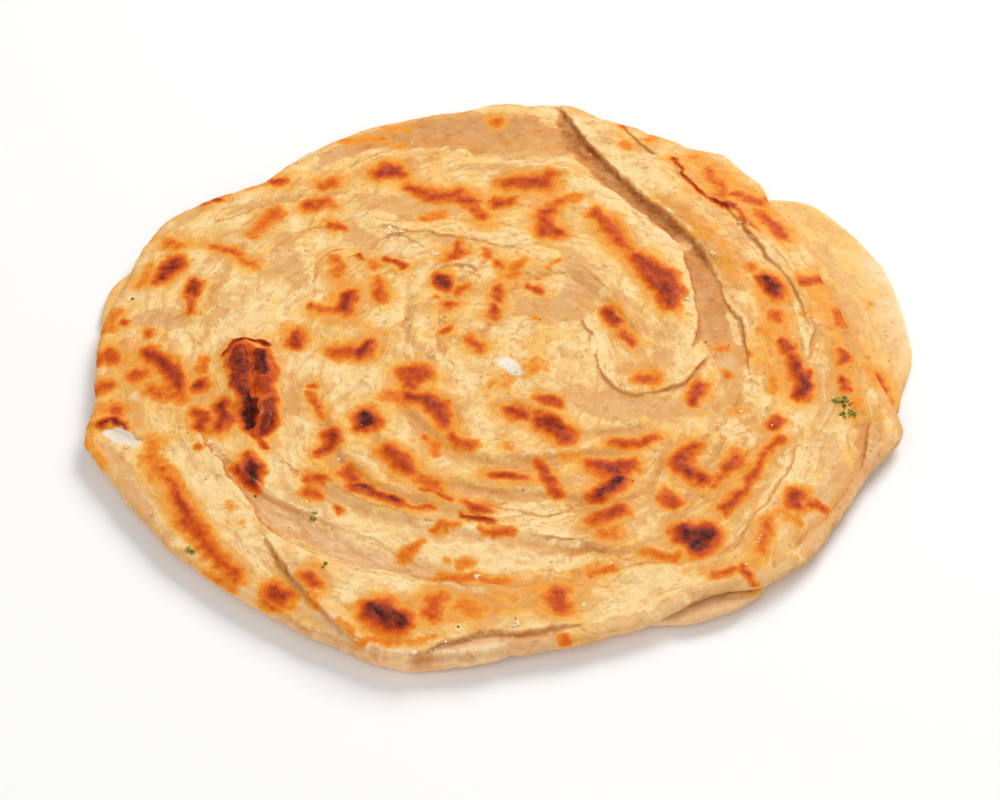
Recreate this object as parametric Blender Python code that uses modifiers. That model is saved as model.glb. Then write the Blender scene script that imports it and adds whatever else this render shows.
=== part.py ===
"""Layered paratha: a flat round griddle bread, coiled, rolled out and fried until its layers part.

The bread is one solid, made of two overlapping discs that a Boolean joins:
  - the bottom leaf, a thin smooth layer that shows past the rim on the right and under it in places;
  - the coiled bread on top of it, whose rim lifts off the leaf and whose layers end in raised lips.
Each disc is a turned profile in unit space (share of the radius, share of the thickness). That profile
is then fitted to the disc's uneven outline and to the heights of its underside and its top.

Lengths in the tables are millimetres, with x to the right, y to the back and the angle of a place
counted from +x towards +y. The scene is in metres, +Z up, and the bread rests on z = 0.
"""

import math
from collections import namedtuple

import bpy
import numpy as np

MM = 0.001

# Driving dimensions, in millimetres.
NOMINAL_RADIUS = 104.0  # mean radius of both discs
LEAF_THICK = 2.6  # bottom leaf, away from its rim
LEAF_RIM_THICK = 1.7  # bottom leaf at its rim
LEAF_CURL_REACH = 14.0  # how far in from the rim the bottom leaf starts to lift
BREAD_TOP = 6.4  # height of the coiled bread before its lips and folds
RIM_ROUND = 2.2  # how far in the coiled bread's rounded rim reaches
RIM_LIFT_REACH = 15.0  # how far in from the rim the coiled bread lifts off the leaf
EDGE_EASE = 2.5  # how late the top turns down towards the rim
RIM_RELIEF = 0.6  # share of the lips and folds that is left at the rim
LAP = 0.5  # how deep the coiled bread sits in the leaf, which joins the two

# Mesh density of each disc.
SEGMENTS = 92
BREAD_RINGS = 38
BREAD_UNDER_RINGS = 7
LEAF_RINGS = 10
RIM_STEPS = 4
MERGE_SHARE = 0.0001  # points of a unit disc nearer than this become one

SMOOTHING_DEG = 4  # half the angle over which a table's corners are rounded
PATH_ROUNDING = 2  # corner cuttings that turn a path's points into a smooth line
END_FADE = 0.14  # share of a path over which a lip or fold dies away at each end

# Outlines, as (angle in degrees, radius).
BREAD_OUTLINE = [
    (-172, 108), (-168.5, 109), (-165, 113.4), (-159, 112), (-154, 109.6), (-147, 108.6),
    (-125, 106.5), (-115, 107.8), (-109, 108.6), (-104, 109.2), (-100, 109), (-96, 107.6),
    (-91, 105.4), (-86, 102.8), (-80, 102.4), (-70, 101.6), (-64, 101.2), (-60, 100.8),
    (-56, 101.6), (-52, 105.8), (-49, 106.9), (-40, 107.1), (-29, 105.8), (-24, 106.2),
    (-15, 111.8), (-7, 104), (6, 96.5), (16, 95), (32, 98.6), (38, 98.4), (42, 102.8),
    (47, 102.4), (51, 105.4), (55, 101.8), (63, 101), (67, 102.4), (72, 101.2), (76, 104.8),
    (81, 105.8), (84, 103.6), (87.5, 105.6), (93, 103), (101, 101), (111, 101.7), (116, 99.9),
    (125, 99), (134, 96.8), (144, 104.2), (150, 108.5), (166, 106.5), (176, 108.5),
]  # fmt: skip
LEAF_OUTLINE = [
    (-180, 104), (-150, 101), (-120, 99), (-90, 98), (-75, 97.5), (-67, 99.4), (-63, 103.8),
    (-59, 105.4), (-55, 106.2), (-51, 105.8), (-47, 102), (-40, 101), (-22, 103), (-10, 108.4),
    (-5, 109.2), (1, 112.8), (9, 113), (20, 113.8), (28, 112.2), (33, 111.4), (37, 108.8),
    (41, 99.6), (60, 96), (100, 95), (140, 98), (156, 104), (162, 108.2), (166, 111), (170, 110.2),
    (175, 107),
]  # fmt: skip

# The coiled bread's rim, as (angle, lift over the leaf) and (angle, thickness). In front it
# reaches past the leaf and droops.
RIM_LIFT = [
    (-180, 1.0), (-166, 2.6), (-152, 1.0), (-120, 0.5), (-111, 0.2), (-105, -1.5), (-100, -1.8),
    (-96, -0.8), (-91, 0.2), (-80, 0.6), (-67, 1.3), (-58, 2.5), (-50, 1.6), (-42, 0.5), (-20, 0.6),
    (5, 0.3), (30, 0.3), (45, 1.0), (90, 1.2), (135, 0.7),
]  # fmt: skip
RIM_THICK = [
    (-180, 2.6), (-165, 2.4), (-130, 2.4), (-114, 3.2), (-106, 4.6), (-100, 5.2), (-95, 4.4),
    (-89, 3.6), (-75, 3.2), (-60, 2.2), (-48, 2.8), (-20, 3.2), (0, 3.0), (45, 2.6), (90, 2.4),
    (135, 2.4),
]  # fmt: skip
# How far the bottom leaf's rim curls up, as (angle, height).
LEAF_CURL = [
    (-180, 0.2), (-76, 0.3), (-66, 1.6), (-57, 2.7), (-48, 1.3), (-38, 0.0), (15, 1.1), (45, 0.1),
    (120, 0.0), (163, 1.4),
]  # fmt: skip

# A lip is where a layer ends: the surface rises by height on the left of the path, over width, and
# sinks back over spread. A fold is a ridge along the path, or with a negative height a groove.
Lip = namedtuple("Lip", "height spread width path")
Fold = namedtuple("Fold", "height width path")
CRISP = 2.6  # width of a torn or cut edge's rise

LIPS = [
    # Upper disc's own edge, above the deep gap on the right, and where it dies at the back left.
    Lip(1.7, 16, CRISP, [
        (52, -8), (53, 8), (54, 20), (53, 30), (50, 42), (45, 49), (38, 56), (30, 65), (26, 69),
        (20, 73), (10, 74), (0, 74.5), (-8, 75)]),
    Lip(0.6, 12, CRISP, [(4, 74), (-5, 76), (-20, 81), (-33, 80), (-42, 75), (-52, 72), (-62, 69)]),
    Lip(0.8, 12, 3.0, [(-30, 61), (-44, 62), (-58, 60), (-72, 54), (-82, 46)]),
    Lip(0.8, 10, 2.6, [(10, 46), (0, 50), (-12, 51), (-26, 50), (-40, 52)]),
    # The bands that lap each other along the right rim.
    Lip(1.9, 13, CRISP, [
        (16, 105), (20, 99), (25, 88), (29, 83), (33, 76), (38, 67), (43, 60), (50, 53), (54, 47),
        (58, 40), (61, 30), (63, 24), (65, 12), (67, 0), (67, -14)]),
    Lip(1.3, 10, CRISP, [
        (50, 82), (51, 77), (53, 71), (57, 64), (61, 60), (65, 57), (67, 53), (70, 48), (72, 43),
        (76, 36), (80, 28), (83, 20), (84, 5)]),
    Lip(0.8, 8, CRISP, [(82, -8), (85, 6), (84, 20), (80, 32), (74, 43)]),
    Lip(0.8, 8, CRISP, [(35, 96), (37, 91), (41, 85), (47, 78)]),
    Lip(0.8, 8, 2.4, [(96, -14), (95, -2), (92, 10), (90, 22), (86, 34)]),
    Lip(0.9, 8, 2.4, [(66, -14), (64, -22), (58, -30), (50, -36)]),
    # The inner edge of the broad left band, and the rough step across the gap inside it.
    Lip(1.4, 22, CRISP, [
        (14, -83), (0, -84), (-14, -83), (-25, -78.5), (-38, -77), (-49, -72.5), (-57, -66),
        (-62, -57), (-69, -46), (-74, -38), (-77, -31), (-82, -22)]),
    Lip(0.9, 12, CRISP, [
        (-72, -35), (-66, -44), (-57, -52), (-47, -59), (-38, -64), (-28, -69), (-21, -73),
        (-14, -79)]),
    Lip(1.0, 18, 3.0, [(44, -76), (34, -77), (24, -79), (14, -82), (4, -84)]),
    # The front flap, which lies over the rolled rim: its edge and its softer left side.
    Lip(1.7, 18, CRISP, [
        (-27, -105), (-20, -104.5), (-15, -103), (-10, -100), (-3, -97), (3, -96.5), (9, -95.5),
        (16, -94.5), (24, -93)]),
    Lip(1.2, 22, 3.0, [
        (-62, -62), (-54, -72), (-48, -80), (-42, -88.5), (-36, -96), (-30, -102), (-24, -105),
        (-16, -104)]),
    # The notch at the left end of the broad band.
    Lip(1.0, 9, CRISP, [(-110, -27), (-104, -28), (-99, -28), (-95, -30), (-91, -34)]),
    # Ends of thinner leaves round the middle of the coil.
    Lip(0.7, 8, CRISP, [
        (-40, 46), (-35, 48), (-28, 48), (-21, 46), (-12, 44), (-2, 42), (8, 39), (17, 35)]),
    Lip(0.6, 8, CRISP, [(-50, 17), (-50, 24), (-50, 33), (-46, 39), (-39, 41)]),
    Lip(0.9, 12, CRISP, [
        (23, 18), (23, 10), (27, 4), (28, -3), (29, -11), (35, -16), (42, -16), (50, -13),
        (53, -6), (56, -2), (57, 5)]),
    Lip(1.1, 10, 2.4, [
        (-5, -4), (-5, 6), (-2, 17), (4, 25), (12, 32), (20, 31), (28, 24), (34, 14), (40, 4)]),
    Lip(0.9, 8, 2.2, [(-16, -6), (-18, 8), (-15, 22), (-7, 32), (4, 39)]),
    # Turns of the coil in the front half.
    Lip(1.1, 8, 2.2, [(2, -15), (8, -22), (18, -29), (30, -31), (42, -27)]),
    Lip(1.2, 8, 2.2, [
        (-27, -14), (-22, -24), (-14, -34), (-4, -41), (8, -40), (20, -37), (30, -37), (42, -33)]),
    Lip(1.2, 8, 2.2, [
        (-31, -20), (-31, -32), (-26, -42), (-16, -48), (-4, -50), (8, -52), (18, -52), (30, -55),
        (42, -50)]),
    Lip(1.3, 8, 2.2, [
        (-44, -18), (-42, -34), (-38, -42), (-30, -49), (-20, -55), (-8, -58), (2, -59.5)]),
    Lip(1.2, 8, 2.4, [
        (-52, -38), (-46, -48), (-40, -53), (-31, -59), (-20, -62), (-10, -65), (2, -67),
        (16, -70), (34, -70), (46, -73), (54, -72)]),
    Lip(0.8, 6, CRISP, [(-44, -48), (-36, -54), (-28, -58), (-19, -61), (-12, -62)]),
    Lip(0.8, 6, CRISP, [(-4, -56), (5, -58), (12, -60), (18, -57), (23, -53)]),
    # Pleats that run up from the front right.
    Lip(1.0, 9, 2.4, [(66, -62), (60, -72), (50, -76), (38, -77)]),
    Lip(1.0, 7, 2.2, [(44, -36), (44, -44), (38, -54), (30, -57), (20, -60)]),
    Lip(0.9, 7, 2.0, [(62, -30), (57, -40), (52, -48), (46, -58), (42, -66)]),
    Lip(0.9, 7, 2.0, [(68, -30), (64, -40), (58, -50), (52, -58)]),
    Lip(0.9, 7, 2.0, [(74, -30), (69, -42), (63, -52), (57, -60)]),
    Lip(0.9, 9, CRISP, [(80, -32), (77, -40), (74, -47), (70, -54), (64, -62), (60, -70)]),
]  # fmt: skip

FOLDS = [
    # The deep gap between the upper disc and the bands on its right, and the nearest band's crest.
    Fold(-1.7, 5.5, [
        (20, 100), (26, 84), (31, 73), (39, 61), (48, 50), (55, 38), (58, 24), (60, 8), (61, -10)]),
    Fold(0.9, 5, [(38, 80), (46, 68), (56, 56), (63, 44), (68, 30)]),
    # The gap inside the broad front band.
    Fold(-1.6, 5, [(-68, -42), (-59, -54), (-50, -64), (-38, -71), (-24, -76), (-8, -81)]),
    # The scorched blister on the left, two lobes with an open crease between them.
    Fold(2.7, 4.4, [(-69, 6), (-69.5, -4), (-68, -14), (-66, -24)]),
    Fold(2.3, 3.6, [(-62, 3), (-60.5, -8), (-60.5, -18), (-60, -30)]),
    Fold(-1.2, 2.0, [(-66, -17), (-65, -23), (-63, -29)]),
    # The crease inside the rolled right rim, and the ridge that crosses the rim at its end.
    Fold(-1.3, 3.5, [(98, -20), (95, -32), (91, -46), (86, -55), (77, -67), (71, -76)]),
    Fold(1.0, 3.5, [(70, -88), (68, -80), (73, -68), (82, -56)]),
    # The hollow below the left notch, and the crease above it.
    Fold(-1.2, 3.5, [(-112, -30), (-104, -32), (-94, -36)]),
    Fold(-0.8, 4, [(-98, 42), (-82, 45), (-66, 36)]),
    # Soft rise of the lifted rim at the front right.
    Fold(1.0, 7, [(40, -94), (54, -85), (66, -82)]),
    # An upright pleat left of the centre.
    Fold(0.45, 1.5, [(-27, 30), (-28.5, 17), (-28, 8), (-26, -4)]),
    # The rolled dough under the front flap's edge.
    Fold(0.9, 2.6, [
        (-50, -82.5), (-44, -91), (-38, -98), (-30, -105), (-18, -106.5), (-2, -103.5), (12, -101),
        (26, -100)]),
]  # fmt: skip

CRUST_COLOUR = (0.78, 0.47, 0.19, 1.0)
CRUST_ROUGHNESS = 0.55


def smooth(share):
    """Eases a share from 0 to 1."""
    share = np.clip(share, 0.0, 1.0)
    return share * share * (3.0 - 2.0 * share)


def around(angle_deg, table):
    """The table's value at each angle, with its corners rounded."""
    angles, values = np.array(sorted(table), float).T
    offsets = np.arange(-SMOOTHING_DEG, SMOOTHING_DEG + 1)
    weights = 1.0 + np.cos(np.pi * offsets / (SMOOTHING_DEG + 1))
    found = [np.interp(angle_deg + o, angles, values, period=360) for o in offsets]
    return np.tensordot(weights / weights.sum(), found, axes=1)


def rounded_path(points):
    """The path with its corners cut, as an array of x, y."""
    path = np.array(points, float)
    for _ in range(PATH_ROUNDING):
        nearer = 0.75 * path[:-1] + 0.25 * path[1:]
        further = 0.25 * path[:-1] + 0.75 * path[1:]
        inner = np.stack([nearer, further], axis=1).reshape(-1, 2)
        path = np.vstack([path[:1], inner, path[-1:]])
    return path


def beside(path, x, y):
    """(distance to the path, positive on its left; share of its length there) for each x, y."""
    run = np.concatenate([[0.0], np.cumsum(np.hypot(*np.diff(path, axis=0).T))])
    nearest = np.full(x.shape, np.inf)
    signed = np.zeros(x.shape)
    share = np.zeros(x.shape)
    for start, end, run_start, run_end in zip(path[:-1], path[1:], run[:-1], run[1:]):
        step = end - start
        along = ((x - start[0]) * step[0] + (y - start[1]) * step[1]) / (step @ step)
        along = np.clip(along, 0.0, 1.0)
        off_x = x - start[0] - along * step[0]
        off_y = y - start[1] - along * step[1]
        distance = np.hypot(off_x, off_y)
        closer = distance < nearest
        side = np.where(step[0] * off_y - step[1] * off_x >= 0, 1.0, -1.0)
        nearest = np.where(closer, distance, nearest)
        signed = np.where(closer, distance * side, signed)
        at = (run_start + along * (run_end - run_start)) / run[-1]
        share = np.where(closer, at, share)
    return signed, share


def fading(share):
    """1 along a path, dying to 0 at both ends."""
    return smooth(np.minimum(share, 1.0 - share) / END_FADE)


def relief(x, y):
    """How far the lips and folds raise the coiled bread's top, in millimetres."""
    height = np.zeros(x.shape)
    for lip in LIPS:
        signed, share = beside(rounded_path(lip.path), x, y)
        rise = smooth(0.5 + signed / lip.width)
        height += lip.height * fading(share) * rise * np.exp(-np.maximum(signed, 0) / lip.spread)
    for fold in FOLDS:
        signed, share = beside(rounded_path(fold.path), x, y)
        height += fold.height * fading(share) * np.exp(-((signed / fold.width) ** 2))
    return height


def unit_disc(name, top_rings, under_rings, rim_share):
    """A turned disc of radius 1 and thickness 1, whose rounded rim takes up rim_share of the radius."""
    inner = 1.0 - rim_share
    turns = [math.pi / 2 - math.pi * step / (RIM_STEPS + 1) for step in range(1, RIM_STEPS + 1)]
    profile = [(inner * ring / top_rings, 1.0) for ring in range(top_rings + 1)]
    profile += [(inner + rim_share * math.cos(a), 0.5 + 0.5 * math.sin(a)) for a in turns]
    profile += [(inner * ring / under_rings, 0.0) for ring in range(under_rings, -1, -1)]
    mesh = bpy.data.meshes.new(name + "_profile")
    mesh.from_pydata(
        [(share, 0.0, height) for share, height in profile],
        [(point, point + 1) for point in range(len(profile) - 1)],
        [],
    )
    turned = bpy.data.objects.new(name + "_profile", mesh)
    bpy.context.scene.collection.objects.link(turned)
    screw = turned.modifiers.new("turn", "SCREW")
    screw.steps = screw.render_steps = SEGMENTS
    screw.use_merge_vertices = True
    screw.merge_threshold = MERGE_SHARE
    graph = bpy.context.evaluated_depsgraph_get()
    disc = bpy.data.meshes.new_from_object(turned.evaluated_get(graph))
    bpy.data.objects.remove(turned)
    made = bpy.data.objects.new(name, disc)
    made.data.name = name
    return made


def unit_points(disc):
    """The disc's points as an array."""
    points = np.empty(len(disc.data.vertices) * 3, np.float32)
    disc.data.vertices.foreach_get("co", points)
    return points.reshape(-1, 3).astype(float)


def plan(disc, outline):
    """Where a unit disc's points go in plan: x, y, angle in degrees, distance in from the outline."""
    unit = unit_points(disc)
    share, angle = np.hypot(unit[:, 0], unit[:, 1]), np.arctan2(unit[:, 1], unit[:, 0])
    radius = around(np.degrees(angle), outline)
    x, y = share * radius * np.cos(angle), share * radius * np.sin(angle)
    return x, y, np.degrees(angle), radius * (1.0 - share)


def fit(disc, x, y, floor, ceiling):
    """Moves a unit disc's points to x, y and between the floor and ceiling heights."""
    height = floor + (ceiling - floor) * unit_points(disc)[:, 2]
    placed = np.column_stack([x, y, height]) * MM
    disc.data.vertices.foreach_set("co", placed.astype(np.float32).ravel())
    disc.data.update()


def leaf_floor(angle, inset):
    return around(angle, LEAF_CURL) * smooth(1.0 - inset / LEAF_CURL_REACH)


def leaf_ceiling(angle, inset):
    thinning = (LEAF_THICK - LEAF_RIM_THICK) * smooth(1.0 - inset / LEAF_CURL_REACH)
    return leaf_floor(angle, inset) + LEAF_THICK - thinning


def bread_floor(angle, inset):
    lift = around(angle, RIM_LIFT) * smooth(1.0 - inset / RIM_LIFT_REACH)
    return LEAF_THICK - LAP + lift


def bread_ceiling(angle, inset, raised):
    """The lips and folds, eased down to the rim's own thickness at the edge."""
    body = BREAD_TOP + raised
    rim = bread_floor(angle, inset) + around(angle, RIM_THICK) + RIM_RELIEF * raised
    edge_share = np.clip(1.0 - inset / RIM_LIFT_REACH, 0.0, 1.0) ** EDGE_EASE
    return body + (rim - body) * edge_share


def make_leaf():
    leaf = unit_disc("bottom_leaf", LEAF_RINGS, LEAF_RINGS, 0.5 * LEAF_RIM_THICK / NOMINAL_RADIUS)
    x, y, angle, inset = plan(leaf, LEAF_OUTLINE)
    fit(leaf, x, y, leaf_floor(angle, inset), leaf_ceiling(angle, inset))
    return leaf


def make_bread():
    bread = unit_disc("paratha", BREAD_RINGS, BREAD_UNDER_RINGS, RIM_ROUND / NOMINAL_RADIUS)
    x, y, angle, inset = plan(bread, BREAD_OUTLINE)
    fit(bread, x, y, bread_floor(angle, inset), bread_ceiling(angle, inset, relief(x, y)))
    return bread


def join(bread, leaf):
    union = bread.modifiers.new("join_bottom_leaf", "BOOLEAN")
    union.operation = "UNION"
    union.solver = "EXACT"
    union.object = leaf
    leaf.hide_render = True
    leaf.display_type = "WIRE"


def stand_on_origin(bread, leaf):
    """Moves both discs so that the origin is under the middle of their common box."""
    corners = [point.co.xy for disc in (bread, leaf) for point in disc.data.vertices]
    middle = [(min(c[axis] for c in corners) + max(c[axis] for c in corners)) / 2 for axis in (0, 1)]
    for disc in (bread, leaf):
        for point in disc.data.vertices:
            point.co.x -= middle[0]
            point.co.y -= middle[1]


def crust_material():
    crust = bpy.data.materials.new("griddled_crust")
    crust.use_nodes = True
    shader = crust.node_tree.nodes["Principled BSDF"]
    shader.inputs["Base Color"].default_value = CRUST_COLOUR
    shader.inputs["Roughness"].default_value = CRUST_ROUGHNESS
    shader.inputs["Metallic"].default_value = 0.0
    return crust


def main():
    for old in list(bpy.data.objects):
        bpy.data.objects.remove(old)
    parts = bpy.data.collections.new("paratha")
    helpers = bpy.data.collections.new("helpers")
    bpy.context.scene.collection.children.link(parts)
    bpy.context.scene.collection.children.link(helpers)
    leaf, bread = make_leaf(), make_bread()
    helpers.objects.link(leaf)
    parts.objects.link(bread)
    stand_on_origin(bread, leaf)
    join(bread, leaf)
    crust = crust_material()
    for disc in (leaf, bread):
        disc.data.materials.append(crust)
        disc.data.shade_smooth()


main()
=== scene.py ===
"""Layered paratha, dressed: a flat round griddle bread whose coiled layers part in lips and flakes.

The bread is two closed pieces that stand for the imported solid: the coiled bread with its browned,
flaky top, and the smooth bottom leaf that shows past its rim. Green herb flecks, flour crumbs and
thin loose flakes lie on them.

Lengths in the tables are millimetres in the bread's own plan, with x to the right, y to the back
and the angle of a place counted from +x towards +y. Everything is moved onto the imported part's box
and scaled to metres when the pieces are made.
"""

import math
from collections import namedtuple

import bmesh
import bpy
import numpy as np
from mathutils import Euler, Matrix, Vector
from mathutils.geometry import delaunay_2d_cdt

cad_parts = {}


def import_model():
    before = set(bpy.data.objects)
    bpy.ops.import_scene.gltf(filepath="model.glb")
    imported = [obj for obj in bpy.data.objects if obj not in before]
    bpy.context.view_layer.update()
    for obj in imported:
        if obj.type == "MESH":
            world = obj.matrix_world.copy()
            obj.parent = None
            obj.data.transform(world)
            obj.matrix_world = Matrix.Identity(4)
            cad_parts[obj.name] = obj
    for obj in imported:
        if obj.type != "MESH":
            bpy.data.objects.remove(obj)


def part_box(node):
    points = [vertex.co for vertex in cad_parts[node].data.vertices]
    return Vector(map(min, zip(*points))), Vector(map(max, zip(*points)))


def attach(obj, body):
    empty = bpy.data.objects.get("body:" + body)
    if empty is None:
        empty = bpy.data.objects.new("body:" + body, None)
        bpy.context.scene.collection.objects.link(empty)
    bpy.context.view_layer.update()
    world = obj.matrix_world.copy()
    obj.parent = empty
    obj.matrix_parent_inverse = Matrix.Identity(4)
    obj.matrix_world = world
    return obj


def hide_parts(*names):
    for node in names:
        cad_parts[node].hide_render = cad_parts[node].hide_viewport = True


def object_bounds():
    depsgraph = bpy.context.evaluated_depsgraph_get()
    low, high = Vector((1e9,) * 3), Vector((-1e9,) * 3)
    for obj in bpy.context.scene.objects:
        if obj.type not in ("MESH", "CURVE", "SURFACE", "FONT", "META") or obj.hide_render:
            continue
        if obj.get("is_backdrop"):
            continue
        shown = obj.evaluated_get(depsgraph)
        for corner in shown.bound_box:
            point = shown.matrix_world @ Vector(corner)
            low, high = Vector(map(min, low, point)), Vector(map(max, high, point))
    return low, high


MM = 0.001

# Main sizes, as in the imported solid.
LEAF_THICK = 2.6
LEAF_RIM_THICK = 1.7
LEAF_CURL_REACH = 14.0
BREAD_TOP = 6.4
RIM_ROUND = 2.2
RIM_LIFT_REACH = 15.0
EDGE_EASE = 2.5
RIM_RELIEF = 0.6
LAP = 0.5
SMOOTHING_DEG = 3
PATH_ROUNDING = 2
END_FADE = 0.14

# How far a rim's mean line lies inside its outline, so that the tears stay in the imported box; how far
# small bits stay inside the rim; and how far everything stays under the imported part's top.
BREAD_TEAR_DEPTH = 0.78
LEAF_TEAR_DEPTH = 0.4
BIT_INSET = 2.6
TOP_CLEAR = 0.02

# Mesh density: millimetres between points, points round each rim and steps down each rounded side.
FILL_SPACING = 0.80
STRIP_SPACING = 0.55
RIM_COUNT = 1040
LEAF_RIM_COUNT = 700
BREAD_SIDE_STEPS = 14
LEAF_SIDE_STEPS = 6
# Half the side of the square that each piece's grid of places covers.
BREAD_GRID_REACH = 116.0
LEAF_GRID_REACH = 118.0

# The place round which the coil's turns run.
COIL_X, COIL_Y = 5.0, -8.0


def entries(kind, *rows):
    """Rows of plain numbers and then a path's nodes, each as an entry of that kind."""
    numbers = len(kind._fields) - 1
    return [kind(*row[:numbers], row[numbers:]) for row in rows]


BREAD_OUTLINE = [
    (-172, 108), (-168, 108.6), (-164.4, 113.4), (-159, 112), (-154, 109.6), (-147, 108.6),
    (-125, 106.5), (-115, 107.8), (-109, 108.6), (-104, 109.2), (-100, 109), (-96, 107.6),
    (-91, 105.4), (-86, 102.8), (-80, 102.4), (-70, 101.6), (-64, 101.2), (-60, 100.8),
    (-56, 101.6), (-52, 105.8), (-49, 106.9), (-40, 107.1), (-29, 105.8), (-24, 106.2),
    (-15, 111.8), (-7, 104), (6, 96.5), (16, 95), (32, 98.6), (38, 98.4), (42, 102.8),
    (47, 102.4), (51, 105.4), (55, 101.8), (63, 101), (67, 102.4), (72, 101.2), (76, 104.8),
    (81, 105.8), (84, 103.6), (87.5, 105.6), (93, 103), (101, 101), (111, 101.7), (116, 99.9),
    (125, 99), (134, 96.8), (144, 104.2), (150, 108.5), (166, 106.5), (176, 108.5),
]  # fmt: skip
LEAF_OUTLINE = [
    (-180, 104), (-150, 101), (-120, 99), (-90, 98), (-75, 97.5), (-67, 99.4), (-63, 103.8),
    (-59, 105.4), (-55, 106.2), (-51, 105.8), (-47, 102), (-40, 101), (-22, 103), (-10, 108.4),
    (-5, 109.2), (1, 112.8), (9, 113), (20, 113.8), (28, 112.2), (33, 111.4), (37, 108.8),
    (41, 99.6), (60, 96), (100, 95), (140, 98), (156, 104), (162, 108.2), (166, 111), (170, 110.2),
    (175, 107),
]  # fmt: skip
RIM_LIFT = [
    (-180, 1.0), (-166, 2.6), (-152, 1.0), (-120, 0.5), (-111, 0.2), (-105, -1.5), (-100, -1.8),
    (-96, -0.8), (-91, 0.2), (-80, 0.6), (-67, 1.3), (-58, 2.5), (-50, 1.6), (-42, 0.5), (-20, 0.6),
    (5, 0.3), (30, 0.3), (45, 1.0), (90, 1.2), (135, 0.7),
]  # fmt: skip
RIM_THICK = [
    (-180, 2.6), (-165, 2.4), (-130, 2.4), (-114, 3.2), (-106, 4.6), (-100, 5.2), (-95, 4.4),
    (-89, 3.6), (-75, 3.2), (-60, 2.2), (-48, 2.8), (-20, 3.2), (0, 3.0), (45, 2.6), (90, 2.4),
    (135, 2.4),
]  # fmt: skip
LEAF_CURL = [
    (-180, 0.2), (-76, 0.3), (-66, 1.6), (-57, 2.7), (-48, 1.3), (-38, 0.0), (15, 1.1), (45, 0.1),
    (120, 0.0), (163, 1.4),
]  # fmt: skip

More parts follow.
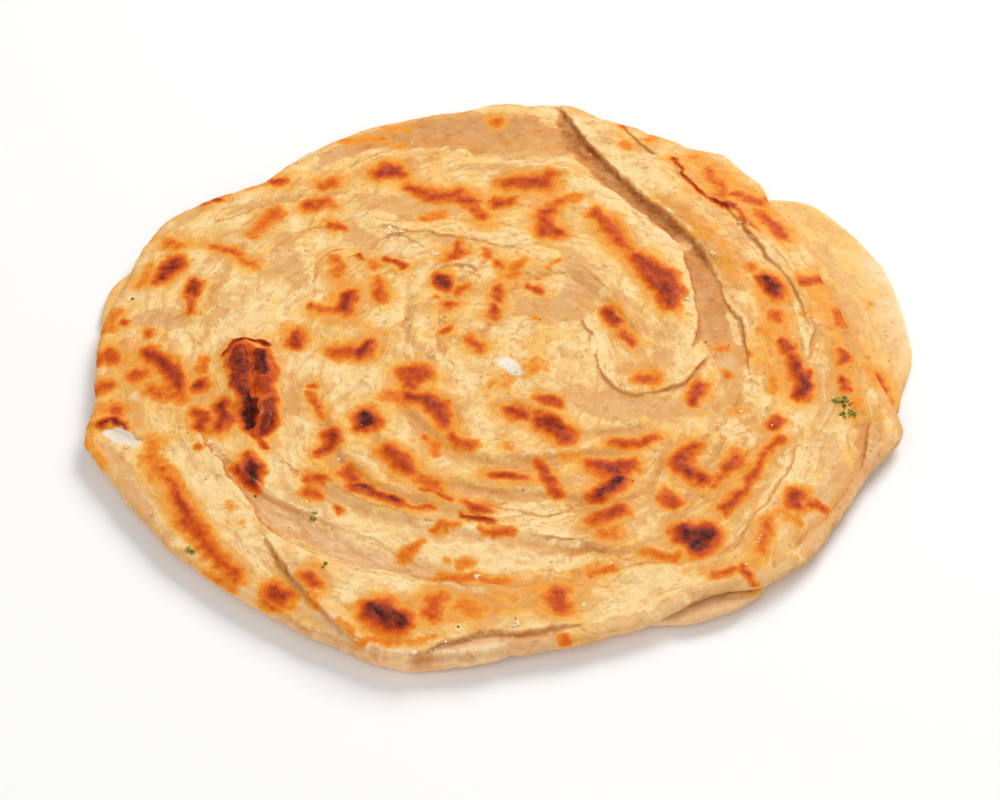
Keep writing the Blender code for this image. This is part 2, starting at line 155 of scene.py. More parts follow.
# A lip is a crisp edge where a layer ends: the surface is high on the left of the path by height, and sinks
# back over spread. Its edge hangs out by overhang over the low side. pale is how bright the edge is, as
# pale torn dough and a painted highlight, and raw how much doughy tan with painted shade shows just under
# it.
Lip = namedtuple("Lip", "height spread overhang pale raw path")
LIPS = entries(
    Lip,
    # Upper disc's own edge, above the deep gap on the right, and where it dies at the back left.
    (1.7, 16, 0.6, 0.9, 0.5, (52, -8), (53, 8), (54, 20), (53, 30), (50, 42), (45, 49), (38, 56), (30, 65),
     (26, 69), (20, 73), (10, 74), (0, 74.5), (-8, 75)),
    (0.6, 12, 0.1, 0.6, 0.5, (4, 74), (-5, 76), (-20, 81), (-33, 80), (-42, 75), (-52, 72), (-62, 69)),
    # The three bands that lap each other along the right rim.
    (1.6, 13, 0.7, 0.9, 0.4, (16, 107), (20, 99), (25, 88), (29, 83), (33, 76), (38, 67), (43, 60),
     (50, 53), (54, 47), (58, 38), (60, 30)),
    (0.9, 12, 0.4, 1.0, 0.4, (55, 46), (58.5, 38), (61, 29), (63, 24), (63.6, 15), (66.5, 12), (67, 2),
     (68, -6), (68, -16)),
    (1.1, 10, 0.5, 0.8, 0.5, (50, 82), (51, 77), (53, 71), (57, 64), (61, 60), (65, 57), (67, 53),
     (70, 48), (72, 43), (76, 36), (80, 28), (83, 20), (84, 5)),
    (0.8, 8, 0.3, 0.6, 0.5, (82, -8), (85, 6), (84, 20), (80, 32), (74, 43)),
    (0.8, 8, 0.4, 0.5, 0.5, (35, 96), (37, 91), (41, 85), (47, 78)),
    # The inner edge of the broad left band, and the rough step across the gap inside it.
    (1.4, 22, 0.3, 0.7, 0.7, (14, -83), (0, -84), (-14, -83), (-25, -78.5), (-38, -77), (-49, -72.5),
     (-57, -66), (-62, -57), (-69, -46), (-74, -38), (-77, -31), (-82, -22)),
    (0.9, 12, 0.1, 0.6, 0.8, (-72, -35), (-66, -44), (-57, -52), (-47, -59), (-38, -64), (-28, -69),
     (-21, -73), (-14, -79)),
    # The edge of the front flap, which lies over the rolled rim.
    (1.5, 20, 0.8, 0.3, 0.9, (-62, -62), (-56, -70), (-50.5, -79), (-46, -86.5), (-40, -93), (-34, -99),
     (-28, -103.5), (-22.5, -104.5), (-17.7, -103.4), (-14.3, -101.9), (-10.4, -99.7), (-6.3, -97.5),
     (0.3, -96.8), (5.2, -96.8), (12, -96), (18, -95), (26, -93)),
    # Ends of thinner leaves between the centre of the coil and the upper disc's edge.
    (0.5, 7, 0.1, 0.6, 0.7, (-64, 34), (-62, 41), (-57, 46), (-50, 49), (-44, 48)),
    (0.7, 8, 0.2, 1.0, 0.6, (-40, 46), (-35, 48), (-28, 48), (-21, 46), (-12, 44), (-2, 42), (8, 39),
     (17, 35)),
    (0.6, 8, 0.2, 0.8, 0.7, (-50, 17), (-50, 24), (-50, 33), (-46, 39), (-39, 41)),
    (0.9, 12, 0.4, 1.0, 0.7, (23, 18), (23, 10), (27, 4), (28, -3), (29, -11), (35, -16), (42, -16),
     (50, -13), (53, -6), (56, -2), (57, 5)),
    # Thin edges among the coil's turns.
    (0.8, 6, 0.3, 0.8, 0.7, (-44, -48), (-36, -54), (-28, -58), (-19, -61), (-12, -62)),
    (0.8, 6, 0.3, 0.9, 0.6, (-4, -56), (5, -58), (12, -60), (18, -57), (23, -53)),
    (0.6, 5, 0.2, 0.7, 0.6, (-10, -61), (-2, -62.5), (8, -66), (20, -68), (32, -73), (38, -76)),
    (0.9, 9, 0.3, 0.7, 0.5, (80, -32), (77, -40), (74, -47), (70, -54), (64, -62), (60, -70)),
    (1.0, 9, 0.5, 0.5, 0.2, (-110, -27), (-104, -28), (-99, -28), (-95, -30), (-91, -34)),
    (0.6, 6, 0.2, 0.8, 0.5, (-34, 34), (-34, 42), (-29, 46.5), (-22, 44), (-18, 38)),
    (0.5, 5, 0.1, 0.6, 0.6, (-64, 30), (-66, 33), (-73, 38), (-80, 42), (-89, 43)),
    (0.5, 6, 0.1, 0.8, 0.5, (-13, -26), (-6, -25), (-3, -31), (-5, -37), (-12, -40)),
    (0.5, 6, 0.1, 0.8, 0.6, (-20, -64), (-24, -69), (-22, -77), (-12, -80)),
    (0.5, 6, 0.1, 0.8, 0.6, (50, -22), (50, -14), (53, -8)),
    (0.5, 6, 0.1, 0.8, 0.6, (-20, 24), (-16, 31), (-9, 34), (-4, 29), (-6, 22)),
    (0.5, 6, 0.1, 0.8, 0.6, (18, 36), (25, 31), (31, 23), (36, 12)),
    (0.5, 6, 0.1, 0.8, 0.6, (62, -27), (56, -34), (50, -37), (44, -36)),
    (0.5, 6, 0.1, 0.8, 0.6, (36, -62), (30, -57), (20, -60), (12, -64)),
    (0.5, 5, 0.1, 0.7, 0.6, (-58, -36), (-52, -43), (-45, -46), (-39, -50)),
    (0.5, 5, 0.1, 0.7, 0.6, (-90, 10), (-84, 15), (-78, 22), (-74, 30)),
    # The thin collar at the back of the blister.
    (0.8, 4, 0.4, 0.3, 0.2, (-74, -4), (-71.6, 0.5), (-67, 3.6), (-63, 3), (-60, 0)),
    # The blister's crease and the curled fibres in its hollow.
    (0.5, 2, 0.2, 0.75, 0.0, (-67.5, 2.5), (-66.1, -2), (-65.2, -7), (-64.4, -12), (-63.2, -18)),
    (0.7, 2, 0.3, 0.85, 0.0, (-65.8, -16.5), (-64, -19), (-62.3, -22), (-61.5, -25), (-62.4, -29)),
    (0.5, 2, 0.2, 0.65, 0.0, (-60.6, -20.5), (-59.9, -23.5), (-60.1, -26.5), (-61.2, -29.5)),
    # The inner edge of the rolled right rim.
    (0.9, 5, 0.4, 0.8, 0.5, (100, -22), (97, -32), (93.5, -43), (87.5, -55), (79.5, -65), (71, -75)),
)  # fmt: skip

# A step is a soft edge: the surface is high on the left of the path, and rises over width. raw is how much
# doughy tan, partly painted shade, lies at its foot.
Step = namedtuple("Step", "height spread width raw path")
STEPS = entries(
    Step,
    # Front end of the broad band.
    (1.0, 18, 3.0, 0.4, (44, -76), (34, -77), (24, -79), (14, -82), (4, -84)),
    # Round the middle of the coil.
    (1.1, 10, 2.4, 0.5, (-5, -4), (-5, 6), (-2, 17), (4, 25), (12, 32), (20, 31), (28, 24), (34, 14),
     (40, 4)),
    (0.9, 8, 2.2, 0.5, (-16, -6), (-18, 8), (-15, 22), (-7, 32), (4, 39)),
    # Turns of the coil in the front half.
    (1.1, 8, 2.2, 0.7, (2, -15), (8, -22), (18, -29), (30, -31), (42, -27)),
    (1.2, 8, 2.2, 0.7, (-27, -14), (-22, -24), (-14, -34), (-4, -41), (8, -40), (20, -37), (30, -37),
     (42, -33)),
    (1.2, 8, 2.2, 0.7, (-31, -20), (-31, -32), (-26, -42), (-16, -48), (-4, -50), (8, -52), (18, -52),
     (30, -55), (42, -50)),
    (1.3, 8, 2.2, 0.7, (-44, -18), (-42, -34), (-38, -42), (-30, -49), (-20, -55), (-8, -58), (2, -59.5)),
    (1.2, 8, 2.4, 0.6, (-52, -38), (-46, -48), (-40, -53), (-31, -59), (-20, -62), (-10, -65), (2, -67),
     (16, -70), (34, -70), (46, -73), (54, -72)),
    (1.0, 9, 2.4, 0.5, (66, -62), (60, -72), (50, -76), (38, -77)),
    # Pleats that run up from the front right.
    (1.0, 7, 2.2, 0.6, (44, -36), (44, -44), (38, -54), (30, -57), (20, -60)),
    (0.9, 7, 2.0, 0.6, (62, -30), (57, -40), (52, -48), (46, -58), (42, -66)),
    (0.9, 7, 2.0, 0.5, (68, -30), (64, -40), (58, -50), (52, -58)),
    (0.9, 7, 2.0, 0.5, (74, -30), (69, -42), (63, -52), (57, -60)),
    # Edges of the bands on the right, near the front.
    (0.9, 8, 2.4, 0.5, (66, -14), (64, -22), (58, -30), (50, -36)),
    (0.8, 8, 2.4, 0.4, (96, -14), (95, -2), (92, 10), (90, 22), (86, 34)),
    # Back left, where the upper disc dies into the rim.
    (0.8, 12, 3.0, 0.4, (-30, 61), (-44, 62), (-58, 60), (-72, 54), (-82, 46)),
    (0.8, 10, 2.6, 0.3, (10, 46), (0, 50), (-12, 51), (-26, 50), (-40, 52)),
)  # fmt: skip

# A fold is a ridge along its path, or with a negative height a groove.
Fold = namedtuple("Fold", "height width path")
FOLDS = entries(
    Fold,
    # The deep gap between the upper disc and the bands on its right.
    (-1.4, 5.0, (20, 100), (26, 84), (31, 73), (39, 61), (48, 50), (55, 38), (58, 24), (60, 8), (61, -10)),
    (0.9, 5, (38, 80), (46, 68), (56, 56), (63, 44), (68, 30)),
    # The gap inside the broad front band.
    (-1.6, 5, (-68, -42), (-59, -54), (-50, -64), (-38, -71), (-24, -76), (-8, -81)),
    # The scorched blister on the left: two lobes and the open crease between them.
    (2.7, 4.0, (-69, 5), (-69, -4), (-68, -14), (-66, -24)),
    (2.3, 3.5, (-62.5, 2), (-61.2, -8), (-60.6, -18), (-60, -30)),
    (-1.6, 0.9, (-67, 2), (-65.9, -4), (-65.1, -9), (-64.2, -14), (-63.2, -20)),
    (-1.2, 2.0, (-66, -17), (-65, -23), (-63, -29)), (0.6, 0.8, (-63.2, -17), (-62.0, -23), (-61.2, -30)),
    # The crease inside the rolled right rim, and the ridge that crosses the rim at its end.
    (-1.3, 3.5, (98, -20), (95, -32), (91, -46), (86, -55), (77, -67), (71, -76)),
    (1.0, 3.5, (70, -88), (68, -80), (73, -68), (82, -56)),
    # The notch at the left end of the broad band, and the crease above it.
    (-1.2, 3.5, (-112, -30), (-104, -32), (-94, -36)), (-0.8, 4, (-98, 42), (-82, 45), (-66, 36)),
    # Soft rise of the lifted rim at the front right.
    (1.0, 7, (40, -94), (54, -85), (66, -82)),
    # Upright pleats left of the centre.
    (0.45, 1.5, (-27, 30), (-28.5, 17), (-28, 8), (-26, -4)),
    (-0.4, 1.0, (-24.4, 28), (-25.5, 15), (-24, 0)), (0.4, 1.2, (-21.6, 25), (-22.4, 10), (-20, -2)),
    (-0.3, 1.1, (-19, 22), (-19.6, 12), (-17, 2)),
    # The rolled dough under the front flap's edge.
    (0.9, 2.6, (-50, -82.5), (-44, -91), (-38, -98), (-30, -105), (-18, -106.5), (-2, -103.5), (12, -101),
     (26, -100)),
    # Fine creases at the front right.
    (-0.5, 0.8, (53, -36), (47, -42), (43, -50)), (-0.4, 0.8, (66, -30), (58, -45), (50, -57)),
    (0.4, 1.2, (70, -36), (63, -50), (55, -60)), (0.4, 1.3, (76, -30), (70, -44), (62, -56)),
)  # fmt: skip

# Browned marks: how dark each is, and its nodes (x, y, radius).
Mark = namedtuple("Mark", "toast path")
MARKS = entries(
    Mark,
    # Left rim and the ground before the blister.
    (0.58, (-104, 0, 2), (-103, -4, 2)), (0.62, (-102.8, -13.5, 2.2)), (0.55, (-100, -22, 3)),
    (0.92, (-103.3, -27.3, 0.9), (-100, -26, 1.4), (-97.3, -27.3, 1.1), (-96, -29.6, 0.6)),
    (0.82, (-93, -1, 2.2), (-89, -4.5, 2.6), (-86, -9, 2.8), (-84.5, -14, 2.2)),
    (0.45, (-90, -15, 3), (-84, -17, 3)), (0.66, (-95, -9, 2.8)), (0.50, (-78, -3, 1), (-78, -8, 1)),
    (0.80, (-78.5, -13, 2.4)), (0.72, (-79, -23.5, 1.8), (-76, -25, 2.4), (-76.5, -29, 2)),
    (0.80, (-72.5, -20.5, 2), (-70, -24.5, 2.6), (-72.5, -28.5, 1.8)), (0.50, (-77.5, -36, 1.5)),
    (0.95, (-63.5, -39, 1.2), (-63.2, -43.5, 3.3), (-62, -47.2, 1.8)), (0.75, (-66.5, -43, 1.5)),
    (0.72, (-54, 7, 2), (-54, 3.5, 2.6)), (0.95, (-54, 5.5, 0.95)),
    # Long streak down the broad band.
    (0.36, (-89, -34, 2.4), (-88, -41, 3.2), (-85, -46, 3.2)), (0.52, (-86, -43.5, 1.8)),
    (0.60, (-84, -47.5, 1.4), (-81.5, -53, 2.6), (-79, -59, 2.9), (-75, -65, 2.4), (-71, -71, 2.2),
     (-67.5, -76, 2.2), (-64.5, -79.3, 2.2)),
    (0.78, (-82, -52, 1.3), (-79.8, -57.5, 1.6), (-78, -61, 1.0)),
    (0.64, (-108.6, -29, 0.9), (-107.2, -33, 1.1), (-104.6, -37.5, 1.0), (-100.8, -42.2, 0.8)),
    (0.76, (-55, -84.5, 3.2), (-53, -86.5, 3)), (0.26, (-67, -57, 2)), (0.18, (-65.5, -62, 2.2)),
    # Between the blister and the centre.
    (0.58, (-48, -13.3, 1.4)), (0.50, (-48.5, -17, 1.5), (-46, -23.5, 1.5)),
    (0.78, (-43, -31, 2), (-42.5, -34.5, 2), (-45.5, -38, 1.8)),
    (0.94, (-34.2, -24.5, 3.2), (-34, -27.8, 3.2)), (0.62, (-42.5, -0.5, 3), (-39.5, 0.5, 2.6)),
    (0.80, (-36.5, -0.5, 2.8), (-33.8, 1.5, 2.4)), (0.66, (-23.5, -8, 3), (-19.5, -8.5, 3.2)),
    (0.62, (-22, -9, 2.8), (-22, -13, 2.4)), (0.35, (-29, -17, 2.6), (-24, -18, 2.6)),
    (0.78, (-23, -17, 2), (-18.5, -19, 2.4), (-15, -22.5, 2.8), (-12.8, -28, 2.2)),
    (0.60, (-11.8, -32, 1.8), (-9.5, -35.5, 1.8), (-6.5, -35.8, 2.2)),
    (0.42, (-18, -32, 1.6), (-15.5, -38, 1.4)), (0.68, (-28, -38, 2.2), (-25, -41.5, 2.8), (-22, -45, 2.2)),
    (0.46, (-19, -48.5, 1.6), (-15, -50.5, 2.2)), (0.62, (-18.5, -51.7, 0.7), (-11.5, -54.8, 0.7)),
    (0.70, (-38.3, -44.8, 2.2), (-36.5, -46.8, 2)),
    (0.84, (-35.5, -50, 1.7), (-29.5, -53.5, 1.7), (-24, -56, 1.1)),
    (0.55, (-22, -57, 0.9), (-16.5, -58.2, 0.9)), (0.55, (-47.5, -46.5, 1.6), (-44.5, -47.5, 1.6)),
    (0.62, (-49, -51, 1.4), (-46, -52, 1.8)), (0.62, (-40, -57.3, 1.1)),
    # Turns of the coil at the front.
    (0.70, (-8, -55.5, 1.1), (-4.5, -57.3, 1.8), (-2, -58, 1.2)),
    (0.86, (-9, -60.5, 0.8), (-4, -61.5, 0.9), (0, -62.5, 0.6)),
    (0.50, (-16, -65, 1.1), (-13, -63.7, 1.3), (-10.5, -63.7, 1)), (0.50, (-4, -65, 0.7), (4, -65.3, 0.7)),
    (0.42, (-22.5, -73.5, 1.8), (-19.5, -69.5, 1.4)), (0.26, (-12, -74.5, 1.2)), (0.36, (-7.5, -75, 2)),
    (0.40, (-13, -79.3, 1.6), (-6, -80.3, 1.8), (2.5, -81.8, 2)),
    (0.62, (-46.8, -80, 1.4), (-44.5, -84, 1.7)), (0.30, (-46, -87.5, 1.6), (-43.5, -90, 1.2)),
    (0.90, (-29.5, -92, 4), (-25, -95, 4.6)), (0.56, (-14.5, -88, 2.2), (-15.5, -93, 2.4)),
    (0.34, (-38, -94, 0.5), (-33, -99.2, 0.9), (-27, -101.6, 1.2), (-20, -101.4, 1.2), (-14.5, -99, 0.6)),
    (0.42, (-8.5, -89.5, 1.8), (-5, -92, 2.4)),
    # Back left.
    (0.72, (-63.3, 68.4, 1.1), (-61, 68.6, 1.2)), (0.85, (-81.5, 60, 1.2), (-78.5, 61.8, 1)),
    (0.45, (-62.5, 54, 3), (-66, 48.5, 2.2), (-67.5, 45, 1.5)), (0.58, (-52, 57, 2.8), (-48, 58.5, 2.6)),
    (0.50, (-49, 67.5, 2.4), (-46.5, 68, 2.3)),
    (0.75, (-33.5, 71.5, 2.3), (-30, 72.5, 3.6), (-27.5, 71, 2)),
    (0.64, (-24, 65, 2), (-19, 62, 2.4), (-14, 60.7, 2.2), (-10.5, 62, 2.8), (-7, 59.5, 2.4)),
    (0.50, (-6, 57, 2.4), (-3.5, 53, 2.2)), (0.38, (-20, 51.5, 2), (-16, 54, 1.8)),
    (0.60, (-47, 49.7, 1.3), (-43, 49, 1.3)), (0.42, (0, 95, 2.8)),
    (0.30, (-43, 86, 1.8), (-33, 87.5, 1.8)), (0.32, (-28.5, 84, 1.6)),
    (0.20, (-34, 93, 1.5), (-26, 91, 2)), (0.84, (-88.8, 35.5, 2), (-89.5, 32, 2.7), (-92, 28.5, 2.2)),
    (0.66, (-93.5, 26.5, 1.7)), (0.84, (-82.5, 26, 2), (-82.7, 22.8, 1.9)),
    (0.60, (-83, 20, 1.5), (-83.5, 15.5, 1.4)), (0.66, (-100.5, 11, 1.1)), (0.55, (-93.5, 6.3, 1.5)),
    (0.45, (-91.5, 43.5, 2.2), (-89, 42, 2)),
    (0.50, (-78, 41.5, 1.6), (-74.5, 39, 2), (-70, 36, 1.2), (-66.3, 32.6, 0.9)),
    (0.30, (-98, 26, 2), (-95, 33, 1.6)), (0.34, (-104.5, 8, 1.4), (-102, 16, 1.2)),
    # Flakes left of the centre.
    (0.45, (-45, 35, 2), (-43, 30.5, 2)), (0.78, (-39.8, 21.5, 2.4), (-41, 15, 2.2)),
    (0.50, (-49, 16, 1.6), (-45.5, 15.2, 2.2), (-42, 15, 2)), (0.72, (-50.3, 16.5, 1.1)),
    (0.52, (-32.8, 27, 1.6), (-31.8, 20, 2)), (0.68, (-31, 36, 0.9), (-25.5, 33, 0.9)),
    (0.40, (-34, 33, 2)), (0.64, (-39, 36.8, 0.5), (-37.7, 34.7, 0.5)),
    (0.90, (-15.3, 27.8, 1.6), (-14.5, 25.5, 2)),
    (0.62, (-10.3, 42, 1.2), (-10.8, 38, 2.2), (-13, 35.5, 1.4)),
    (0.50, (-3.4, 38.7, 1.2), (-3.2, 36.5, 1.3)), (0.58, (0, 33.5, 1.6), (1.5, 31.8, 1.4)),
    (0.66, (-13.5, 17, 2)), (0.50, (-10.5, 22.5, 1.4), (-8, 23.8, 1.6)), (0.45, (-17, 19.5, 0.9)),
    (0.60, (0.4, 23, 1.5), (0.5, 19.5, 1.5)), (0.62, (-0.9, 16, 1.3), (-1.3, 12.8, 1.3)),
    (0.60, (-13.8, 8.7, 1.1), (-13.8, 6.5, 1.1)), (0.58, (-7.2, 3.8, 1.6), (-4.2, 1.3, 1.6)),
    # Upper disc.
    (0.66, (3, 66.5, 2.6), (8, 66.2, 3.2), (13, 67, 3.4), (15, 69, 2)),
    (0.60, (0.8, 58.8, 2.4), (4, 59, 1.8)), (0.50, (15.5, 58, 1.8), (19, 59.3, 1.6)),
    (0.36, (19, 59.5, 1.6), (22.5, 60.8, 1.6)),
    (0.66, (15.5, 57, 2), (14.3, 52.5, 2.4), (14.5, 47.5, 3.6), (17, 46, 2.6)),
    (0.60, (28.3, 52.5, 2.6), (31, 49, 3), (33.5, 43.5, 2.4), (35.5, 39.5, 1.8)),
    (0.74, (38, 36, 2), (41, 32, 3.2), (45, 27, 4.6), (47.5, 21, 3.8), (47.5, 15.5, 2.4)),
    (0.84, (45.5, 22, 2), (47, 16.5, 1.6)), (0.78, (30.5, 14.5, 2), (33, 11, 1.8)),
    (0.62, (34, 7.5, 1.5), (36.3, 3, 2)), (0.66, (8.3, 24.8, 0.8), (12.3, 23.2, 1)),
    (0.42, (8.5, 34.5, 1.4), (6, 31, 1.8), (3.5, 27.5, 1.3)), (0.30, (14, 32, 0.8), (17, 35, 0.8)),
    (0.50, (11.8, 28, 0.7)), (0.34, (11, 12, 1)),
    # Bands on the right.
    (0.46, (36.6, 92, 1)), (0.34, (37, 83, 2.2)), (0.26, (44, 86, 2)), (0.86, (51.5, 77.5, 1)),
    (0.82, (51.5, 76, 0.4), (53.4, 69.5, 0.4), (57.5, 63, 0.4), (62, 59.5, 0.5)),
    (0.84, (61.5, 60, 0.9), (66, 56.5, 1.0)), (0.56, (67.5, 55, 0.7), (70.5, 49.5, 0.6), (73, 45, 0.4)),
    (0.40, (56.8, 79, 1.5)), (0.44, (60.5, 73, 2.4), (63, 66, 3), (64, 62, 2.6)),
    (0.56, (68.5, 61.3, 2.2), (73.5, 59.3, 2)),
    (0.60, (74.3, 54.5, 1.6), (76, 51, 2), (79, 47, 2.6), (80.5, 44.5, 2)), (0.50, (70.3, 31.5, 1.3)),
    (0.92, (74, 27, 2.2), (76, 23.5, 3), (77, 21.3, 2.2)), (0.66, (85.5, 26.5, 2.2), (88.5, 27.5, 2)),
    (0.16, (88, 20, 4)), (0.60, (76, 14, 1.9), (76, 11, 2)), (0.78, (77, 2.5, 1.7), (78, -0.5, 1.8)),
    (0.26, (72, 7, 2)), (0.28, (84, 13, 1.4)), (0.50, (92, 16, 1.3), (92.5, 10, 1.5)),
    (0.62, (92.5, -1, 2), (92.8, -4.5, 2)), (0.64, (91.6, -11, 1.1), (92.8, -15, 1.3)),
    (0.30, (102.6, 22.6, 0.9)), (0.50, (98.8, 1.5, 0.5), (98.2, -2, 0.5)), (0.40, (60.5, 1.7, 1.3)),
    (0.50, (68, -1.6, 1.2)), (0.82, (79, -3, 1.5), (79.5, -8.5, 1.9), (82, -12.5, 2.2), (80.2, -16.5, 1.9)),
    (0.66, (82.7, -7.5, 0.9), (83, -11, 1)), (0.56, (101.5, -6, 1.6), (103, -10.5, 1.8)),
    (0.46, (104.5, -15, 1.2), (105, -19, 1)), (0.30, (95.5, -19, 1.4), (94.5, -23, 1.2)),
    (0.28, (63.5, -22.5, 1.8)), (0.28, (73.5, -10, 2), (73, -15, 2)),
    # Front right.
    (0.72, (3.5, -22, 2), (7, -24, 2.4)), (0.78, (12, -26.5, 2.4), (14.5, -28.5, 2.6), (18, -32.5, 2.6)),
    (0.68, (13, -18.5, 1.8), (15.5, -20.5, 2.2)), (0.34, (11, -17.8, 1.3)),
    (0.60, (30.5, -34.8, 1.6), (34, -35, 1.6), (38, -33.5, 1.8), (41, -31.5, 1.4)),
    (0.82, (25.5, -42.5, 2.4), (30, -43.5, 3), (34.5, -42, 1.8)), (0.92, (31, -45, 1.8)),
    (0.92, (31, -48, 2.2), (28, -51, 2.4), (24.5, -53.8, 1.6)),
    (0.70, (-0.5, -45.5, 1.2), (3.5, -46.3, 1.7), (7.5, -47.3, 1)),
    (0.66, (11.5, -42.5, 1.4), (12.5, -46, 1.6), (14, -49.5, 1.8), (15.5, -51.5, 1.8)),
    (0.66, (25, -61.3, 1.8), (28.5, -60, 2.4), (31.5, -58, 1.8)), (0.42, (27, -65.8, 2.4), (30, -66, 2)),
    (0.68, (43.5, -54, 2.2), (44.8, -56, 2.2)),
    (0.74, (52.5, -35, 1.4), (48.5, -37.5, 2), (47.5, -41, 2.8), (50, -44.8, 2.4), (53, -47.8, 2.2)),
    (0.62, (62.8, -38, 1.6), (61, -42, 2.3), (58, -46, 1.4), (55, -50, 1)),
    (0.56, (74.5, -32.3, 1.3), (70.5, -37.5, 1.5), (67, -43, 1.5), (64, -50, 1.5)),
    (0.68, (63, -51, 1.5), (60.5, -54.5, 2), (58, -57.5, 1.5)), (0.74, (73.5, -26, 1.8), (72.3, -28, 1.8)),
    (0.76, (77.5, -53, 2), (76.5, -55.5, 3.2)), (0.62, (80.5, -54.5, 1.1), (83, -56, 1.1)),
    (0.96, (48.5, -66.5, 4.2), (52.5, -66.5, 4.2), (50.5, -68.5, 4)),
    (0.52, (38.2, -10.3, 2.4), (41, -10.8, 3)),
    (0.72, (53.8, -13.5, 1.6), (53.2, -16.5, 2.2), (51.5, -19, 1.6)), (0.48, (61.3, -9, 1.5)),
    (0.42, (68.5, -62, 2), (66.5, -71, 1.6)), (0.26, (71, -58.5, 1.8), (76, -62, 1.6)),
    (0.55, (53.5, -80.3, 1), (57, -79, 1.3), (60, -78, 1)), (0.66, (61.7, -77.3, 1), (63.7, -79.7, 1.1)),
    (0.46, (23.5, -78.3, 1.4), (28.5, -77.3, 1.6)), (0.70, (15.5, -86.5, 3), (15.3, -89.5, 3.2)),
    (0.45, (15.5, -98.8, 0.9), (18.5, -98.2, 1)), (0.40, (37, -72, 1.2), (45.5, -73.4, 1.2)),
    (0.30, (2.5, -35.5, 2.4)), (0.26, (36, -44, 1.8), (18, -40, 1.8)), (0.22, (-2, -14, 2), (11, -6, 3.4)),
)  # fmt: skip

# Marks with a sharp border: the scorched blister and the cap at its back.
SHARP_MARKS = entries(
    Mark,
    (0.52, (-67.5, -3, 4.6), (-67.6, -10, 4.0), (-65.8, -20, 3.4), (-63.5, -28, 3.2)),
    (0.52, (-63.2, -3, 3.4), (-61.8, -9, 4.0), (-61.6, -18, 3.6), (-59.8, -27, 3.4)),
    (0.84, (-68.7, -2.5, 2.8), (-68.2, -8, 3.2), (-67.4, -14, 2.7), (-66.2, -19, 1.9)),
    (0.93, (-63.6, -2.6, 1.6), (-62.0, -8, 2.9)), (0.74, (-61.1, -13, 2.7), (-60.9, -17, 1.8)),
    (1.00, (-65.8, -18.5, 1.3), (-65.2, -23, 2.1), (-64.2, -28.5, 1.6)),
    (0.92, (-63.2, -20, 1.2), (-62.6, -25, 1.5)),
    (0.82, (-59.8, -21.5, 1.7), (-59.0, -25.5, 2.1), (-59.8, -30, 1.5)),
    (0.64, (-62.2, -30, 1.5), (-60.8, -32.5, 1.1), (-59.2, -35.5, 0.8)),
    (0.80, (-72.4, -2, 0.7), (-70.6, 1, 0.8), (-67.5, 3.2, 1.0), (-63.5, 3.3, 0.9), (-61.2, 1.4, 0.6)),
)  # fmt: skip

